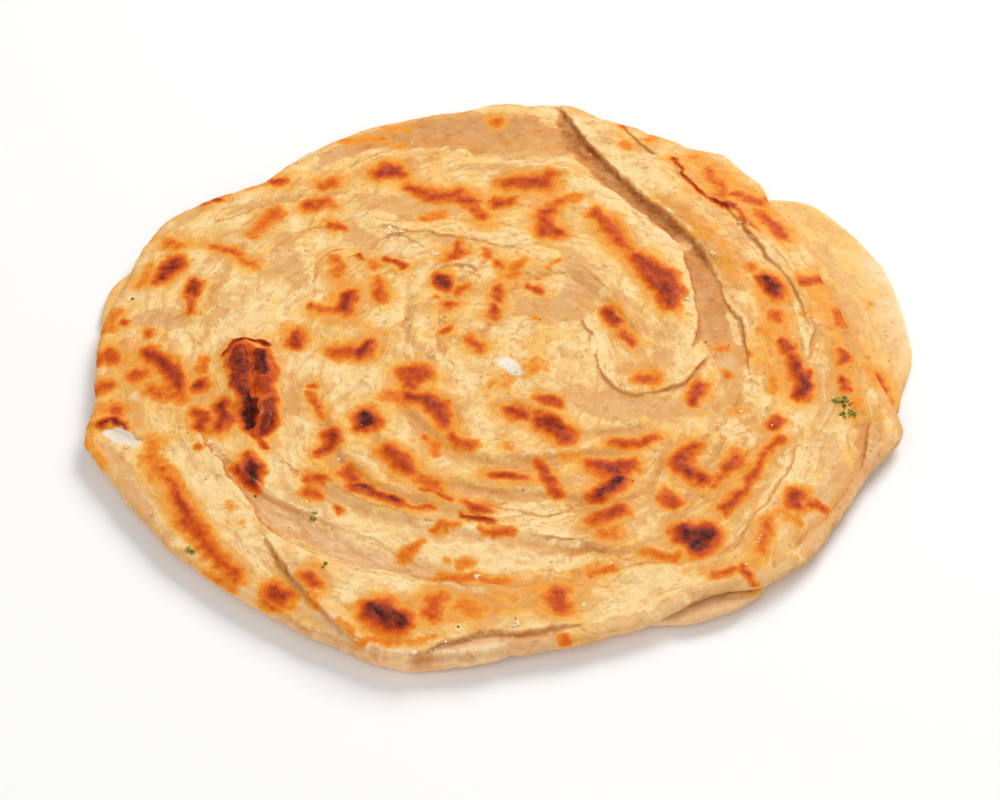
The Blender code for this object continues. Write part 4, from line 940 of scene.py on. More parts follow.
def wrinkles(x, y):
    """Bumps of the crust, and the coil's drawn-out pleats."""
    bumps = 0.32 * noise(x, y, 10.0, 41) + 0.28 * noise(x, y, 4.4, 42) + 0.14 * noise(x, y, 2.0, 43)
    pleats = 0.8 * drawn_out(x, y, 2.8, 45) + 0.4 * drawn_out(x, y, 1.6, 46)
    plenty = 0.3 + 0.7 * area_tone(FLAKY_AREAS, x, y)
    return bumps + 0.30 * plenty * pleats


def bread_rim(angle):
    """Radius of the coiled bread at each angle in radians, with small tears."""
    base = around(np.degrees(angle), BREAD_OUTLINE)
    x, y = base * np.cos(angle), base * np.sin(angle)
    return base - BREAD_TEAR_DEPTH + 0.42 * noise(x, y, 5.0, 51) + 0.18 * noise(x, y, 1.8, 52)


def leaf_rim(angle):
    """Radius of the bottom leaf at each angle in radians."""
    base = around(np.degrees(angle), LEAF_OUTLINE)
    x, y = base * np.cos(angle), base * np.sin(angle)
    return base - LEAF_TEAR_DEPTH + 0.3 * noise(x, y, 7.0, 53) + 0.1 * noise(x, y, 2.5, 54)


def inset_from(rim_at, places):
    """How far inside a rim each place lies."""
    return rim_at(np.arctan2(places.y, places.x)) - np.hypot(places.x, places.y)


def leaf_floor(x, y, inset):
    """Height of the bottom leaf's underside, which curls down towards its rim."""
    return around(np.degrees(np.arctan2(y, x)), LEAF_CURL) * smooth(1.0 - inset / LEAF_CURL_REACH)


def leaf_ceiling(x, y, inset):
    """Height of the bottom leaf's top, which thins towards its rim."""
    thinning = (LEAF_THICK - LEAF_RIM_THICK) * smooth(1.0 - inset / LEAF_CURL_REACH)
    return leaf_floor(x, y, inset) + LEAF_THICK - thinning


def bread_floor(x, y, inset):
    """Height of the coiled bread's underside, with its lifted rim."""
    lift = around(np.degrees(np.arctan2(y, x)), RIM_LIFT) * smooth(1.0 - inset / RIM_LIFT_REACH)
    return LEAF_THICK - LAP + lift


def bread_ceiling(x, y, inset, raised):
    """Height of the coiled bread's top, which meets the rim's own thickness at the edge."""
    thick = around(np.degrees(np.arctan2(y, x)), RIM_THICK)
    body = BREAD_TOP + raised
    edge = bread_floor(x, y, inset) + thick + RIM_RELIEF * raised
    return body + (edge - body) * np.clip(1.0 - inset / RIM_LIFT_REACH, 0.0, 1.0) ** EDGE_EASE


def below(limit, height, soft=0.25):
    """The height, bent so that it stays under the limit."""
    return limit - soft * np.logaddexp(0.0, (limit - height) / soft)


class Ring:
    """Where a disc's rounded side begins on top: its angles, the rim's radius there, and x and y."""

    def __init__(self, rim_at, count, rounding):
        self.angle = np.linspace(-math.pi, math.pi, count, endpoint=False)
        self.rim = rim_at(self.angle)
        inner = self.rim - rounding
        self.x, self.y = inner * np.cos(self.angle), inner * np.sin(self.angle)
        self.inset = self.rim - np.hypot(self.x, self.y)

    def fill(self, places):
        """Triangles over the ring's inside through the places in it, counted after its points."""
        points = np.column_stack([np.concatenate([self.x, places.x]),
                                  np.concatenate([self.y, places.y])])
        outline = [list(range(len(self.x)))]
        found = delaunay_2d_cdt([Vector(p) for p in points], [], outline, 1, 1e-4)
        source = np.array([origins[0] if origins else -1 for origins in found[3]])
        faces = np.array([tuple(face) for face in found[2]])
        return source[faces]


def side_profile(steps):
    """Down a rounded side: each step's share of the height, and how far its curve stands out."""
    for step in range(1, steps + 1):
        turn = math.pi / 2 - math.pi * step / steps
        yield 0.5 + 0.5 * math.sin(turn), math.cos(turn)


class Shell:
    """A closed mesh under construction: points in millimetres, faces and tone attributes."""

    TONES = ("toast", "warm", "raw", "pale", "deep", "dusty")

    def __init__(self, ring, places, x, y, top, tones):
        """Starts with the top: the ring's points, and then the places inside it."""
        self.points, self.tones, self.faces, self.count = [], [], [], 0
        self.ring = ring
        self.add(x, y, top, tones)
        self.faces += ring.fill(places).tolist()
        self.last = np.arange(len(ring.x))

    def add(self, x, y, z, tones):
        """Adds points and gives their indices."""
        first = self.count
        self.points.append(np.column_stack([x, y, z]))
        self.tones.append(np.column_stack([np.broadcast_to(tones[name], len(x))
                                           for name in self.TONES]))
        self.count += len(x)
        return np.arange(first, self.count)

    def lower(self, x, y, z, tones):
        """Goes on down the side with one more ring of points."""
        upper, self.last = self.last, self.add(x, y, z, tones)
        self.faces += np.column_stack([upper, self.last, np.roll(self.last, -1),
                                       np.roll(upper, -1)]).tolist()

    def close(self, under, z, tones):
        """Fills the underside inside the last ring, through the places under it."""
        added = self.add(under.x, under.y, z, tones)
        index = np.concatenate([self.last, added])
        self.faces += index[self.ring.fill(under)][:, ::-1].tolist()

    def build(self, name, material, shift):
        """Makes the piece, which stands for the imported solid."""
        mesh = smooth_mesh(name, np.vstack(self.points), self.faces, material, shift)
        tones = np.vstack(self.tones)
        for index, tone in enumerate(self.TONES):
            layer = mesh.attributes.new(tone, "FLOAT", "POINT")
            layer.data.foreach_set("value", tones[:, index].astype(np.float32))
        used = np.zeros(len(tones), bool)
        used[np.concatenate([np.ravel(face) for face in self.faces])] = True
        if not used.all():
            drop_loose(mesh, used)
        piece = make_piece(mesh)
        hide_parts("paratha")
        return piece


def smooth_mesh(name, points, faces, material, shift):
    """A smooth-shaded mesh from points in millimetres on the plan."""
    mesh = bpy.data.meshes.new(name)
    mesh.from_pydata(((points + shift) * MM).tolist(), [], faces)
    mesh.polygons.foreach_set("use_smooth", np.ones(len(mesh.polygons), bool))
    mesh.materials.append(material)
    return mesh


def make_piece(mesh):
    """Puts a mesh into the scene as a piece of the part."""
    mesh.update()
    piece = bpy.data.objects.new(mesh.name, mesh)
    bpy.context.scene.collection.objects.link(piece)
    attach(piece, "root")
    return piece


def drop_loose(mesh, used):
    """Deletes the points that no face uses."""
    work = bmesh.new()
    work.from_mesh(mesh)
    work.verts.ensure_lookup_table()
    bmesh.ops.delete(work, geom=[work.verts[i] for i in np.flatnonzero(~used)], context="VERTS")
    work.to_mesh(mesh)
    work.free()


def rim_tones(x, y, inset):
    """Plain dough and a browned line along the coiled bread's rim."""
    angle = np.degrees(np.arctan2(y, x))
    dough = around(angle, RIM_DOUGH) * smooth(1.15 - inset / 5.0 + 0.35 * noise(x, y, 3.0, 55))
    brown = around(angle, RIM_BROWN) * smooth(1.4 - inset / 2.2 + 0.4 * noise(x, y, 4.0, 56))
    return dough, brown


def crust_tones(places, raised, inset):
    """Tone attributes of the bread's top."""
    x, y = places.x, places.y
    edge_pale, under_dough_and_shade, shade = lip_tones(places)
    _, flake_edge, flake_dough_and_shade = flakes(x, y)
    toast, glow = browning(x, y)
    dough, brown = rim_tones(x, y, inset)
    raw = np.maximum(area_tone(RAW_AREAS, x, y), under_dough_and_shade)
    raw = np.maximum(raw + 0.45 * flake_dough_and_shade - 0.25 * flake_edge, dough)
    # Painted shade under the lips also turns the ground to dough.
    raw = np.maximum(raw, 0.9 * shade)
    warm = 0.27 + area_tone(WARM_AREAS, x, y, add=True) + 0.50 * glow - 0.25 * flake_edge
    pale = np.maximum(area_tone(PALE_AREAS, x, y), 0.80 * edge_pale)
    pale = np.maximum(pale, 0.40 * flake_edge)
    # The dough's darkness also carries painted shade: more under the lips and in hollows, less on rises.
    deep = 0.50 + area_tone(DARK_AND_SHADE_AREAS, x, y, add=True) + 0.15 * under_dough_and_shade - 0.30 * dough
    deep = deep - 0.09 * np.clip(raised, -2.0, 2.0) + 0.30 * shade
    tones = {"toast": np.maximum(toast, brown), "warm": warm, "raw": raw, "pale": pale,
             "deep": deep, "dusty": area_tone(DUSTY_AREAS, x, y)}
    return {name: np.clip(tone, 0.0, 1.0) for name, tone in tones.items()}


def bread_surface(places, limit):
    """Height of the coiled bread's top, its sideways push and its tones at each place."""
    raised, push_x, push_y = relief(places)
    raised = raised + wrinkles(places.x, places.y) + flakes(places.x, places.y)[0]
    inset = inset_from(bread_rim, places)
    tones = crust_tones(places, raised, inset)
    raised = raised + 0.35 * smooth((tones["toast"] - 0.3) / 0.5)
    top = below(limit, bread_ceiling(places.x, places.y, inset, raised))
    return top, push_x, push_y, tones


def bread_places():
    """The sampling places of the bread's top: rows along the lips, and an even grid between them."""
    places = Lattice(*hex_grid(BREAD_GRID_REACH, FILL_SPACING, 61))
    places = places.take(clear_of_lips(places, STRIP_CLEAR))
    for number, lip in enumerate(LIPS):
        strip = lip_strip(number, lip)
        places = places.plus(strip.take(clear_of_lips(strip, STRIP_APART, first=number + 1)))
    return places.take(inset_from(bread_rim, places) > RIM_ROUND + RING_CLEAR)


def make_bread(shift, limit):
    """The coiled bread: its top, its rounded side with the layers' grooves, and its underside."""
    ring = Ring(bread_rim, RIM_COUNT, RIM_ROUND)
    places = bread_places()
    whole = Lattice(ring.x, ring.y).plus(places)
    top, push_x, push_y, tones = bread_surface(whole, limit)
    shell = Shell(ring, places, whole.x + push_x, whole.y + push_y, top, tones)

    top, push_x, push_y = top[:RIM_COUNT], push_x[:RIM_COUNT], push_y[:RIM_COUNT]
    edge = {name: tone[:RIM_COUNT] for name, tone in tones.items()}
    floor = bread_floor(ring.x, ring.y, ring.inset)
    crease = around(np.degrees(ring.angle), RIM_CREASE)
    layers = 0.5 + 0.5 * noise(ring.x, ring.y, 12.0, 71)
    fibres = noise(ring.x, ring.y, 1.4, 72)
    for level, bulge in side_profile(BREAD_SIDE_STEPS):
        groove = 0.45 * layers * max(0.0, math.cos((level - 0.5) * 4 * math.pi)) * bulge
        cut = crease * hump(level, 0.85, 0.10)
        reach = ring.rim - RIM_ROUND * (1.0 - bulge) - groove - cut
        tube = smooth(crease / 0.4) * smooth((0.92 - level) / 0.15)
        dough = np.maximum(tube, 1.0 - level)
        shell.lower(
            reach * np.cos(ring.angle) + push_x * level,
            reach * np.sin(ring.angle) + push_y * level,
            floor + (top - floor) * level,
            {
                "toast": edge["toast"] * smooth((level - 0.15) / 0.6) * (1.0 - tube),
                "warm": edge["warm"],
                "raw": np.maximum(edge["raw"], 0.9 * dough),
                "pale": edge["pale"] * level,
                # The grooves between the side's layers and the crease under the flap are darkened with
                # painted shade.
                "deep": (edge["deep"] * level + (0.25 + 0.12 * fibres) * dough + 0.5 * groove
                         + 0.35 * cut),
                "dusty": np.maximum(edge["dusty"], tube),
            })

    inner = (ring.rim - 3.4)[::3]
    under = Lattice(inner * np.cos(ring.angle[::3]), inner * np.sin(ring.angle[::3]))
    under = under.plus(grid_inside(bread_rim, BREAD_GRID_REACH, 4.0, 62, 5.5))
    shell.close(under, bread_floor(under.x, under.y, inset_from(bread_rim, under)),
                {"toast": 0.0, "warm": 0.4, "raw": 0.8, "pale": 0.0, "deep": 0.4, "dusty": 0.3})
    return shell.build("coiled_bread", crust_material("griddled_crust", shift, 1.0), shift)


def make_leaf(shift):
    """The smooth bottom leaf, which shows past the coiled bread's rim."""
    ring = Ring(leaf_rim, LEAF_RIM_COUNT, 0.5 * LEAF_RIM_THICK)
    places = grid_inside(leaf_rim, LEAF_GRID_REACH, 1.2, 63, 1.6)
    places = places.take(inset_from(leaf_rim, places) < 30.0)
    places = places.plus(grid_inside(leaf_rim, LEAF_GRID_REACH, 4.0, 64, 32.0))
    whole = Lattice(ring.x, ring.y).plus(places)
    x, y, inset = whole.x, whole.y, inset_from(leaf_rim, whole)
    bumps = 0.18 * noise(x, y, 11.0, 81) + 0.10 * noise(x, y, 4.5, 82)
    top = leaf_ceiling(x, y, inset) + bumps * smooth(inset / 5.0)
    toast, glow = browning(x, y)
    tones = {
        "toast": toast,
        "warm": np.clip(0.30 + area_tone(WARM_AREAS, x, y, add=True) + 0.30 * glow, 0, 1),
        "raw": np.maximum(area_tone(RAW_AREAS, x, y), 0.28),
        # The leaf's paler rim is partly a painted highlight.
        "pale": np.maximum(area_tone(PALE_AREAS, x, y), 0.35 * smooth(1.0 - inset / 5.0)),
        "deep": np.clip(0.35 + area_tone(DARK_AND_SHADE_AREAS, x, y, add=True), 0, 1),
        "dusty": area_tone(DUSTY_AREAS, x, y),
    }
    shell = Shell(ring, places, x, y, top, tones)

    top = top[:LEAF_RIM_COUNT]
    edge = {name: tone[:LEAF_RIM_COUNT] for name, tone in tones.items()}
    floor = leaf_floor(ring.x, ring.y, ring.inset)
    for level, bulge in side_profile(LEAF_SIDE_STEPS):
        reach = ring.rim - 0.5 * LEAF_RIM_THICK * (1.0 - bulge)
        shell.lower(reach * np.cos(ring.angle), reach * np.sin(ring.angle),
                    floor + (top - floor) * level, edge)

    under = grid_inside(leaf_rim, LEAF_GRID_REACH, 1.9, 65, 2.2)
    x, y = under.x, under.y
    patches = noise(x, y, 9.0, 91) + 0.5 * noise(x, y, 3.5, 92)
    shell.close(under, leaf_floor(x, y, inset_from(leaf_rim, under)), {
        "toast": 0.75 * smooth((patches - 0.35) / 0.8) + 0.08,
        "warm": np.clip(0.5 + 0.4 * noise(x, y, 16.0, 93), 0, 1),
        "raw": np.clip(0.35 + 0.4 * noise(x, y, 12.0, 94), 0, 1),
        "pale": 0.0,
        "deep": 0.35,
        "dusty": np.clip(0.3 + 0.4 * noise(x, y, 14.0, 95), 0, 1),
    })
    return shell.build("bottom_leaf", crust_material("smooth_crust", shift, 0.45), shift)


# Small things on the bread: x, y, size.
HERB_PLACES = [
    (90.5, -19.2, 3.6), (93.2, -19.6, 2.4), (92.2, -23.2, 3.4), (-46, -60, 2.6), (-77, -71, 2.6),
    (-42.5, -77.5, 1.8), (-99.3, 20.2, 1.7),
]  # fmt: skip
SPECK_PLACES = [
    (-61.5, -51, 0.9), (-9.2, -97.0, 0.7), (4.8, -93.8, 0.6), (-74.4, -48, 0.5), (-52.5, -62, 0.4),
    (-54.8, -73.8, 0.45), (-52.3, -77.6, 0.45), (-80.2, -31, 0.5), (-101.5, -18.4, 0.5),
    (56.3, 3.8, 0.7), (62.6, 2.9, 0.6), (97.2, -36.8, 0.5), (35, -47.6, 0.45), (-24.4, 12.5, 0.5),
    (11.8, 11.7, 0.5),
]  # fmt: skip
# Heaps of flour and crumb: x, y, reach, how many.
CRUMB_PLACES = [
    (4, -6, 3.5, 26), (0, -9, 3, 10), (54, 47, 2, 7), (-15.5, -101, 3, 12), (-8, -100, 2.5, 12),
    (-14, -106, 4, 14), (-48, -58, 7, 20), (-34, -65, 6, 14), (-70, -58, 5, 8),
    (-5, -30, 12, 14), (30, -70, 10, 12), (-70, -52, 8, 8), (70, -20, 12, 14), (-40, -35, 14, 14),
    (-20, 20, 16, 14), (20, -85, 10, 8), (-88, -62, 8, 8), (-100, -31, 3, 8), (66, -70, 5, 8),
]  # fmt: skip
FLAKE_PLACES = [
    (-36, -101, 2.2), (-20, -106, 2.0), (-13, -101.5, 1.8), (5.5, -95.5, 2.0), (-74, -34, 2.4),
    (-72, -37, 1.8), (-29, 47, 2.6), (-26, 46, 2.2), (68, 50, 2.2), (71, 45, 1.8), (-17, 38, 2.0),
    (52, 18, 1.8), (-4, -80, 1.8), (-95, -34, 2.2), (14, -57, 1.6), (60, 37, 1.8),
]  # fmt: skip


class Heap:
    """Many small bits joined in one mesh, set down on the bread's top."""

    def __init__(self, seed):
        self.bits = []
        self.draw = np.random.default_rng(seed)

    def add(self, points, faces, x, y, sink, tilt=0.3):
        """A bit, turned at random and tilted a little, at a place on the bread."""
        turn = Euler((self.draw.normal(0, tilt), self.draw.normal(0, tilt),
                      self.draw.uniform(0, 2 * math.pi))).to_matrix()
        self.bits.append((points @ np.array(turn).T, np.asarray(faces), x, y, sink))

    def build(self, name, shift, limit):
        """Sets every bit on the bread, kept inside its rim, and makes the piece."""
        x, y = (np.array([bit[axis] for bit in self.bits], float) for axis in (2, 3))
        inward = np.minimum(1.0, (bread_rim(np.arctan2(y, x)) - BIT_INSET) / np.hypot(x, y))
        x, y = x * inward, y * inward
        top, push_x, push_y, _ = bread_surface(Lattice(x, y), limit)
        points, faces, count = [], [], 0
        for bit, *ground in zip(self.bits, x + push_x, y + push_y, top):
            highest = bit[0][:, 2].max()
            ground[2] = min(ground[2] - bit[4], limit - highest)
            points.append(bit[0] + np.array(ground))
            faces += (bit[1] + count).tolist()
            count += len(bit[0])
        return make_piece(smooth_mesh(name, np.vstack(points), faces, small_material(name), shift))


def ball(fineness):
    """Points and triangles of an icosphere of radius 1."""
    work = bmesh.new()
    bmesh.ops.create_icosphere(work, subdivisions=fineness, radius=1.0)
    points = np.array([vert.co for vert in work.verts])
    faces = np.array([[vert.index for vert in face.verts] for face in work.faces])
    work.free()
    return points, faces


def lumps(heap, places):
    """Irregular lumps at (x, y, size) places."""
    points, faces = ball(2)
    for x, y, size in places:
        knobs = 1.0 + 0.35 * heap.draw.uniform(-1, 1, (len(points), 1))
        knobs = 0.5 * knobs + 0.5 * (1.0 + 0.4 * (points @ heap.draw.normal(0, 0.6, (3, 1))))
        squash = np.array([1.0, heap.draw.uniform(0.6, 1.0), heap.draw.uniform(0.4, 0.7)])
        heap.add(points * knobs * squash * 0.5 * size, faces, x, y, 0.05 * size)


def blade(radii, thick, bend):
    """A thin closed blade: points and faces from the radii of its outline."""
    count = len(radii)
    angle = np.linspace(0, 2 * np.pi, count, endpoint=False)
    rings = [np.zeros((1, 2))]
    for share in (0.5, 1.0):
        rings.append(share * np.column_stack([radii * np.cos(angle), radii * np.sin(angle)]))
    flat = np.vstack(rings)
    along, across = flat.T
    height = bend[0] * along**2 + bend[1] * along * across + bend[2] * np.abs(across)
    upper = np.column_stack([flat, height + thick / 2])
    lower = np.column_stack([flat, height - thick / 2])
    here = np.arange(count)
    after = np.roll(here, -1)
    top = [np.column_stack([np.zeros(count, int), 1 + here, 1 + after]),
           np.column_stack([1 + here, 1 + count + here, 1 + count + after]),
           np.column_stack([1 + here, 1 + count + after, 1 + after])]
    top = np.vstack(top)
    under = top[:, ::-1] + len(flat)
    edge = 1 + count
    side = [np.column_stack([edge + here, edge + len(flat) + here, edge + len(flat) + after]),
            np.column_stack([edge + here, edge + len(flat) + after, edge + after])]
    return np.vstack([upper, lower]), np.vstack([top, under, *side])


def make_herbs(shift, limit):
    """Chopped coriander: lobed, crumpled blades in little clusters."""
    heap = Heap(101)
    angle = np.linspace(0, 2 * np.pi, 30, endpoint=False)
    for x, y, size in HERB_PLACES:
        for _ in range(int(2 * size)):
            reach = 0.5 * size * heap.draw.uniform(0.35, 0.75)
            torn = 1.0 + 0.30 * heap.draw.uniform(-1, 1, len(angle))
            lobes = 0.55 + 0.45 * np.abs(np.cos(heap.draw.uniform(0.8, 1.6) * angle))
            slim = 0.45 + 0.55 * np.abs(np.cos(angle + heap.draw.uniform(0, 3)))
            points, faces = blade(reach * lobes * torn * slim, 0.16, heap.draw.normal(0, 0.30, 3))
            off_x, off_y = heap.draw.normal(0, 0.22 * size, 2)
            heap.add(points, faces, x + off_x, y + off_y, -0.15, 0.45)
    return heap.build("coriander_bits", shift, limit)


def make_crumbs(shift, limit):
    """Grains of flour and crumb in loose heaps."""
    heap = Heap(102)
    places = []
    for x, y, reach, count in CRUMB_PLACES:
        for off_x, off_y in heap.draw.normal(0, 0.45 * reach, (count, 2)):
            places.append((x + off_x, y + off_y, 0.25 + 0.65 * heap.draw.uniform(0, 1) ** 3))
    lumps(heap, places)
    return heap.build("flour_crumbs", shift, limit)


def make_specks(shift, limit):
    """Burnt specks."""
    heap = Heap(103)
    lumps(heap, SPECK_PLACES)
    return heap.build("burnt_specks", shift, limit)


def make_flakes(shift, limit):
    """Thin leaves of dough that have come loose."""
    heap = Heap(104)
    angle = np.linspace(0, 2 * np.pi, 22, endpoint=False)
    for x, y, size in FLAKE_PLACES:
        for _ in range(2):
            radii = 0.5 * size * heap.draw.uniform(0.5, 1.0) * (
                0.75 + 0.25 * np.cos(2 * angle + heap.draw.uniform(0, 6)))
            radii = radii * (1 + 0.16 * heap.draw.uniform(-1, 1, len(angle)))
            points, faces = blade(radii, 0.22, heap.draw.normal(0, 0.10, 3))
            off_x, off_y = heap.draw.normal(0, 0.4 * size, 2)
            heap.add(points, faces, x + off_x, y + off_y, -0.12, 0.30)
    piece = heap.build("loose_flakes", shift, limit)
    return piece


class Graph:
    """Short names for building a material's nodes."""

    def __init__(self, name):
        self.material = bpy.data.materials.new(name)
        self.material.use_nodes = True
        self.nodes = self.material.node_tree.nodes
        self.links = self.material.node_tree.links
        self.shader = self.nodes["Principled BSDF"]

    def node(self, kind, **settings):
        made = self.nodes.new(kind)
        for key, value in settings.items():
            setattr(made, key, value)
        return made

    def put(self, socket, value):
        if isinstance(value, bpy.types.NodeSocket):
            self.links.new(value, socket)
        else:
            socket.default_value = value

    def millimetres(self):
        """The piece's own coordinates in millimetres."""
        made = self.node("ShaderNodeVectorMath", operation="SCALE")
        self.put(made.inputs[0], self.node("ShaderNodeTexCoord").outputs["Object"])
        self.put(made.inputs["Scale"], 1.0 / MM)
        return made.outputs[0]

    def math(self, operation, *values):
        made = self.node("ShaderNodeMath", operation=operation)
        for socket, value in zip(made.inputs, values):
            self.put(socket, value)
        return made.outputs[0]

    def joined(self, operation, values):
        """The values put together one after another by the operation."""
        made = values[0]
        for value in values[1:]:
            made = self.math(operation, made, value)
        return made

    def total(self, *values):
        return self.joined("ADD", values)

    def product(self, *values):
        return self.joined("MULTIPLY", values)

    def sway(self, source, amount):
        """The source's way from its middle, times amount."""
        return self.product(self.math("SUBTRACT", source, 0.5), amount)

    def span(self, value, low, high, to_low=0.0, to_high=1.0):
        """The value's place between low and high, eased, as a number between the other two."""
        made = self.node("ShaderNodeMapRange", interpolation_type="SMOOTHSTEP")
        for socket, entry in zip(made.inputs, (value, low, high, to_low, to_high)):
            self.put(socket, entry)
        return made.outputs[0]

    def noise(self, place, size, detail, roughness=0.55):
        """Noise with features of size millimetres."""
        made = self.node("ShaderNodeTexNoise")
        self.put(made.inputs["Vector"], place)
        self.put(made.inputs["Scale"], 1.0 / size)
        self.put(made.inputs["Detail"], detail)
        self.put(made.inputs["Roughness"], roughness)
        return made.outputs["Fac"]

    def ramp(self, value, stops):
        made = self.node("ShaderNodeValToRGB")
        self.put(made.inputs["Fac"], value)
        elements = made.color_ramp.elements
        while len(elements) < len(stops):
            elements.new(0.5)
        for element, (at, colour) in zip(elements, stops):
            element.position = at
            element.color = (*colour, 1.0)
        return made.outputs["Color"]

    def blend(self, share, first, second):
        made = self.node("ShaderNodeMix", data_type="RGBA")
        self.put(made.inputs["Factor"], share)
        self.put(made.inputs[6], first)
        self.put(made.inputs[7], second)
        return made.outputs[2]

    def bump(self, height, strength, distance):
        """Bumps the shader's normal: distance is in millimetres."""
        made = self.node("ShaderNodeBump")
        self.put(made.inputs["Height"], height)
        self.put(made.inputs["Strength"], strength)
        self.put(made.inputs["Distance"], distance * MM)
        self.put(self.shader.inputs["Normal"], made.outputs["Normal"])

    def set(self, **sockets):
        """Sets the shader's own sockets, named with underscores for spaces."""
        for name, value in sockets.items():
            self.put(self.shader.inputs[name.replace("_", " ")], value)


CRUST_RAMP = [
    (0.0, (0.955, 0.67, 0.305)),
    (0.25, (0.935, 0.585, 0.190)),
    (0.5, (0.91, 0.49, 0.112)),
    (0.75, (0.885, 0.40, 0.060)),
    (1.0, (0.855, 0.31, 0.035)),
]
DOUGH_RAMP = [
    (0.0, (0.86, 0.57, 0.30)),
    (0.3, (0.825, 0.475, 0.19)),
    (0.55, (0.76, 0.385, 0.120)),
    (0.75, (0.68, 0.280, 0.070)),
    (0.9, (0.58, 0.190, 0.042)),
    (1.0, (0.42, 0.130, 0.026)),
]
DUSTY_RAMP = [
    (0.0, (0.93, 0.68, 0.42)),
    (0.3, (0.83, 0.52, 0.27)),
    (0.6, (0.70, 0.37, 0.165)),
    (0.85, (0.56, 0.24, 0.085)),
    (1.0, (0.40, 0.14, 0.045)),
]
TOAST_RAMP = [
    (0.0, (0.91, 0.47, 0.10)),
    (0.18, (0.87, 0.34, 0.042)),
    (0.36, (0.80, 0.205, 0.017)),
    (0.54, (0.66, 0.102, 0.010)),
    (0.72, (0.46, 0.056, 0.011)),
    (0.86, (0.25, 0.030, 0.013)),
    (1.0, (0.06, 0.010, 0.006)),
]
CREAM_COLOUR = (0.97, 0.755, 0.395, 1.0)
TAN_COLOUR = (0.73, 0.37, 0.125, 1.0)
BROWN_COLOUR = (0.69, 0.30, 0.085, 1.0)
CREASE_SHADE_COLOUR = (0.56, 0.235, 0.065, 1.0)
GRIT_COLOUR = (0.80, 0.34, 0.065, 1.0)
SPECK_COLOUR = (0.40, 0.13, 0.03, 1.0)
FLOUR_COLOUR = (0.96, 0.88, 0.74, 1.0)
# How far round the coil the shader's streaks run, as the radius in millimetres that they are true at.
STREAK_RADIUS = 14.0


def along_coil(graph, place, shift):
    """The place as distance from the coil's middle and a shortened way round it."""
    parts = graph.node("ShaderNodeSeparateXYZ")
    graph.put(parts.inputs[0], place)
    off_x = graph.math("SUBTRACT", parts.outputs["X"], float(COIL_X + shift[0]))
    off_y = graph.math("SUBTRACT", parts.outputs["Y"], float(COIL_Y + shift[1]))
    radius = graph.math("SQRT", graph.total(graph.product(off_x, off_x), graph.product(off_y, off_y)))
    bend = graph.product(graph.noise(place, 14.0, 1), 9.0)
    made = graph.node("ShaderNodeCombineXYZ")
    graph.put(made.inputs["X"], graph.total(radius, bend))
    for axis, off in (("Y", off_x), ("Z", off_y)):
        graph.put(made.inputs[axis], graph.product(graph.math("DIVIDE", off, radius), STREAK_RADIUS))
    return made.outputs[0]


def dots(graph, place, size, share):
    """Round dots: size is their spacing in millimetres and share how many cells have one."""
    cells = graph.node("ShaderNodeTexVoronoi")
    graph.put(cells.inputs["Vector"], place)
    graph.put(cells.inputs["Scale"], 1.0 / size)
    dot = graph.span(cells.outputs["Distance"], 0.10, 0.26, 1.0, 0.0)
    pick = graph.node("ShaderNodeSeparateColor")
    graph.put(pick.inputs[0], cells.outputs["Color"])
    return graph.product(dot, graph.math("LESS_THAN", pick.outputs[0], share))


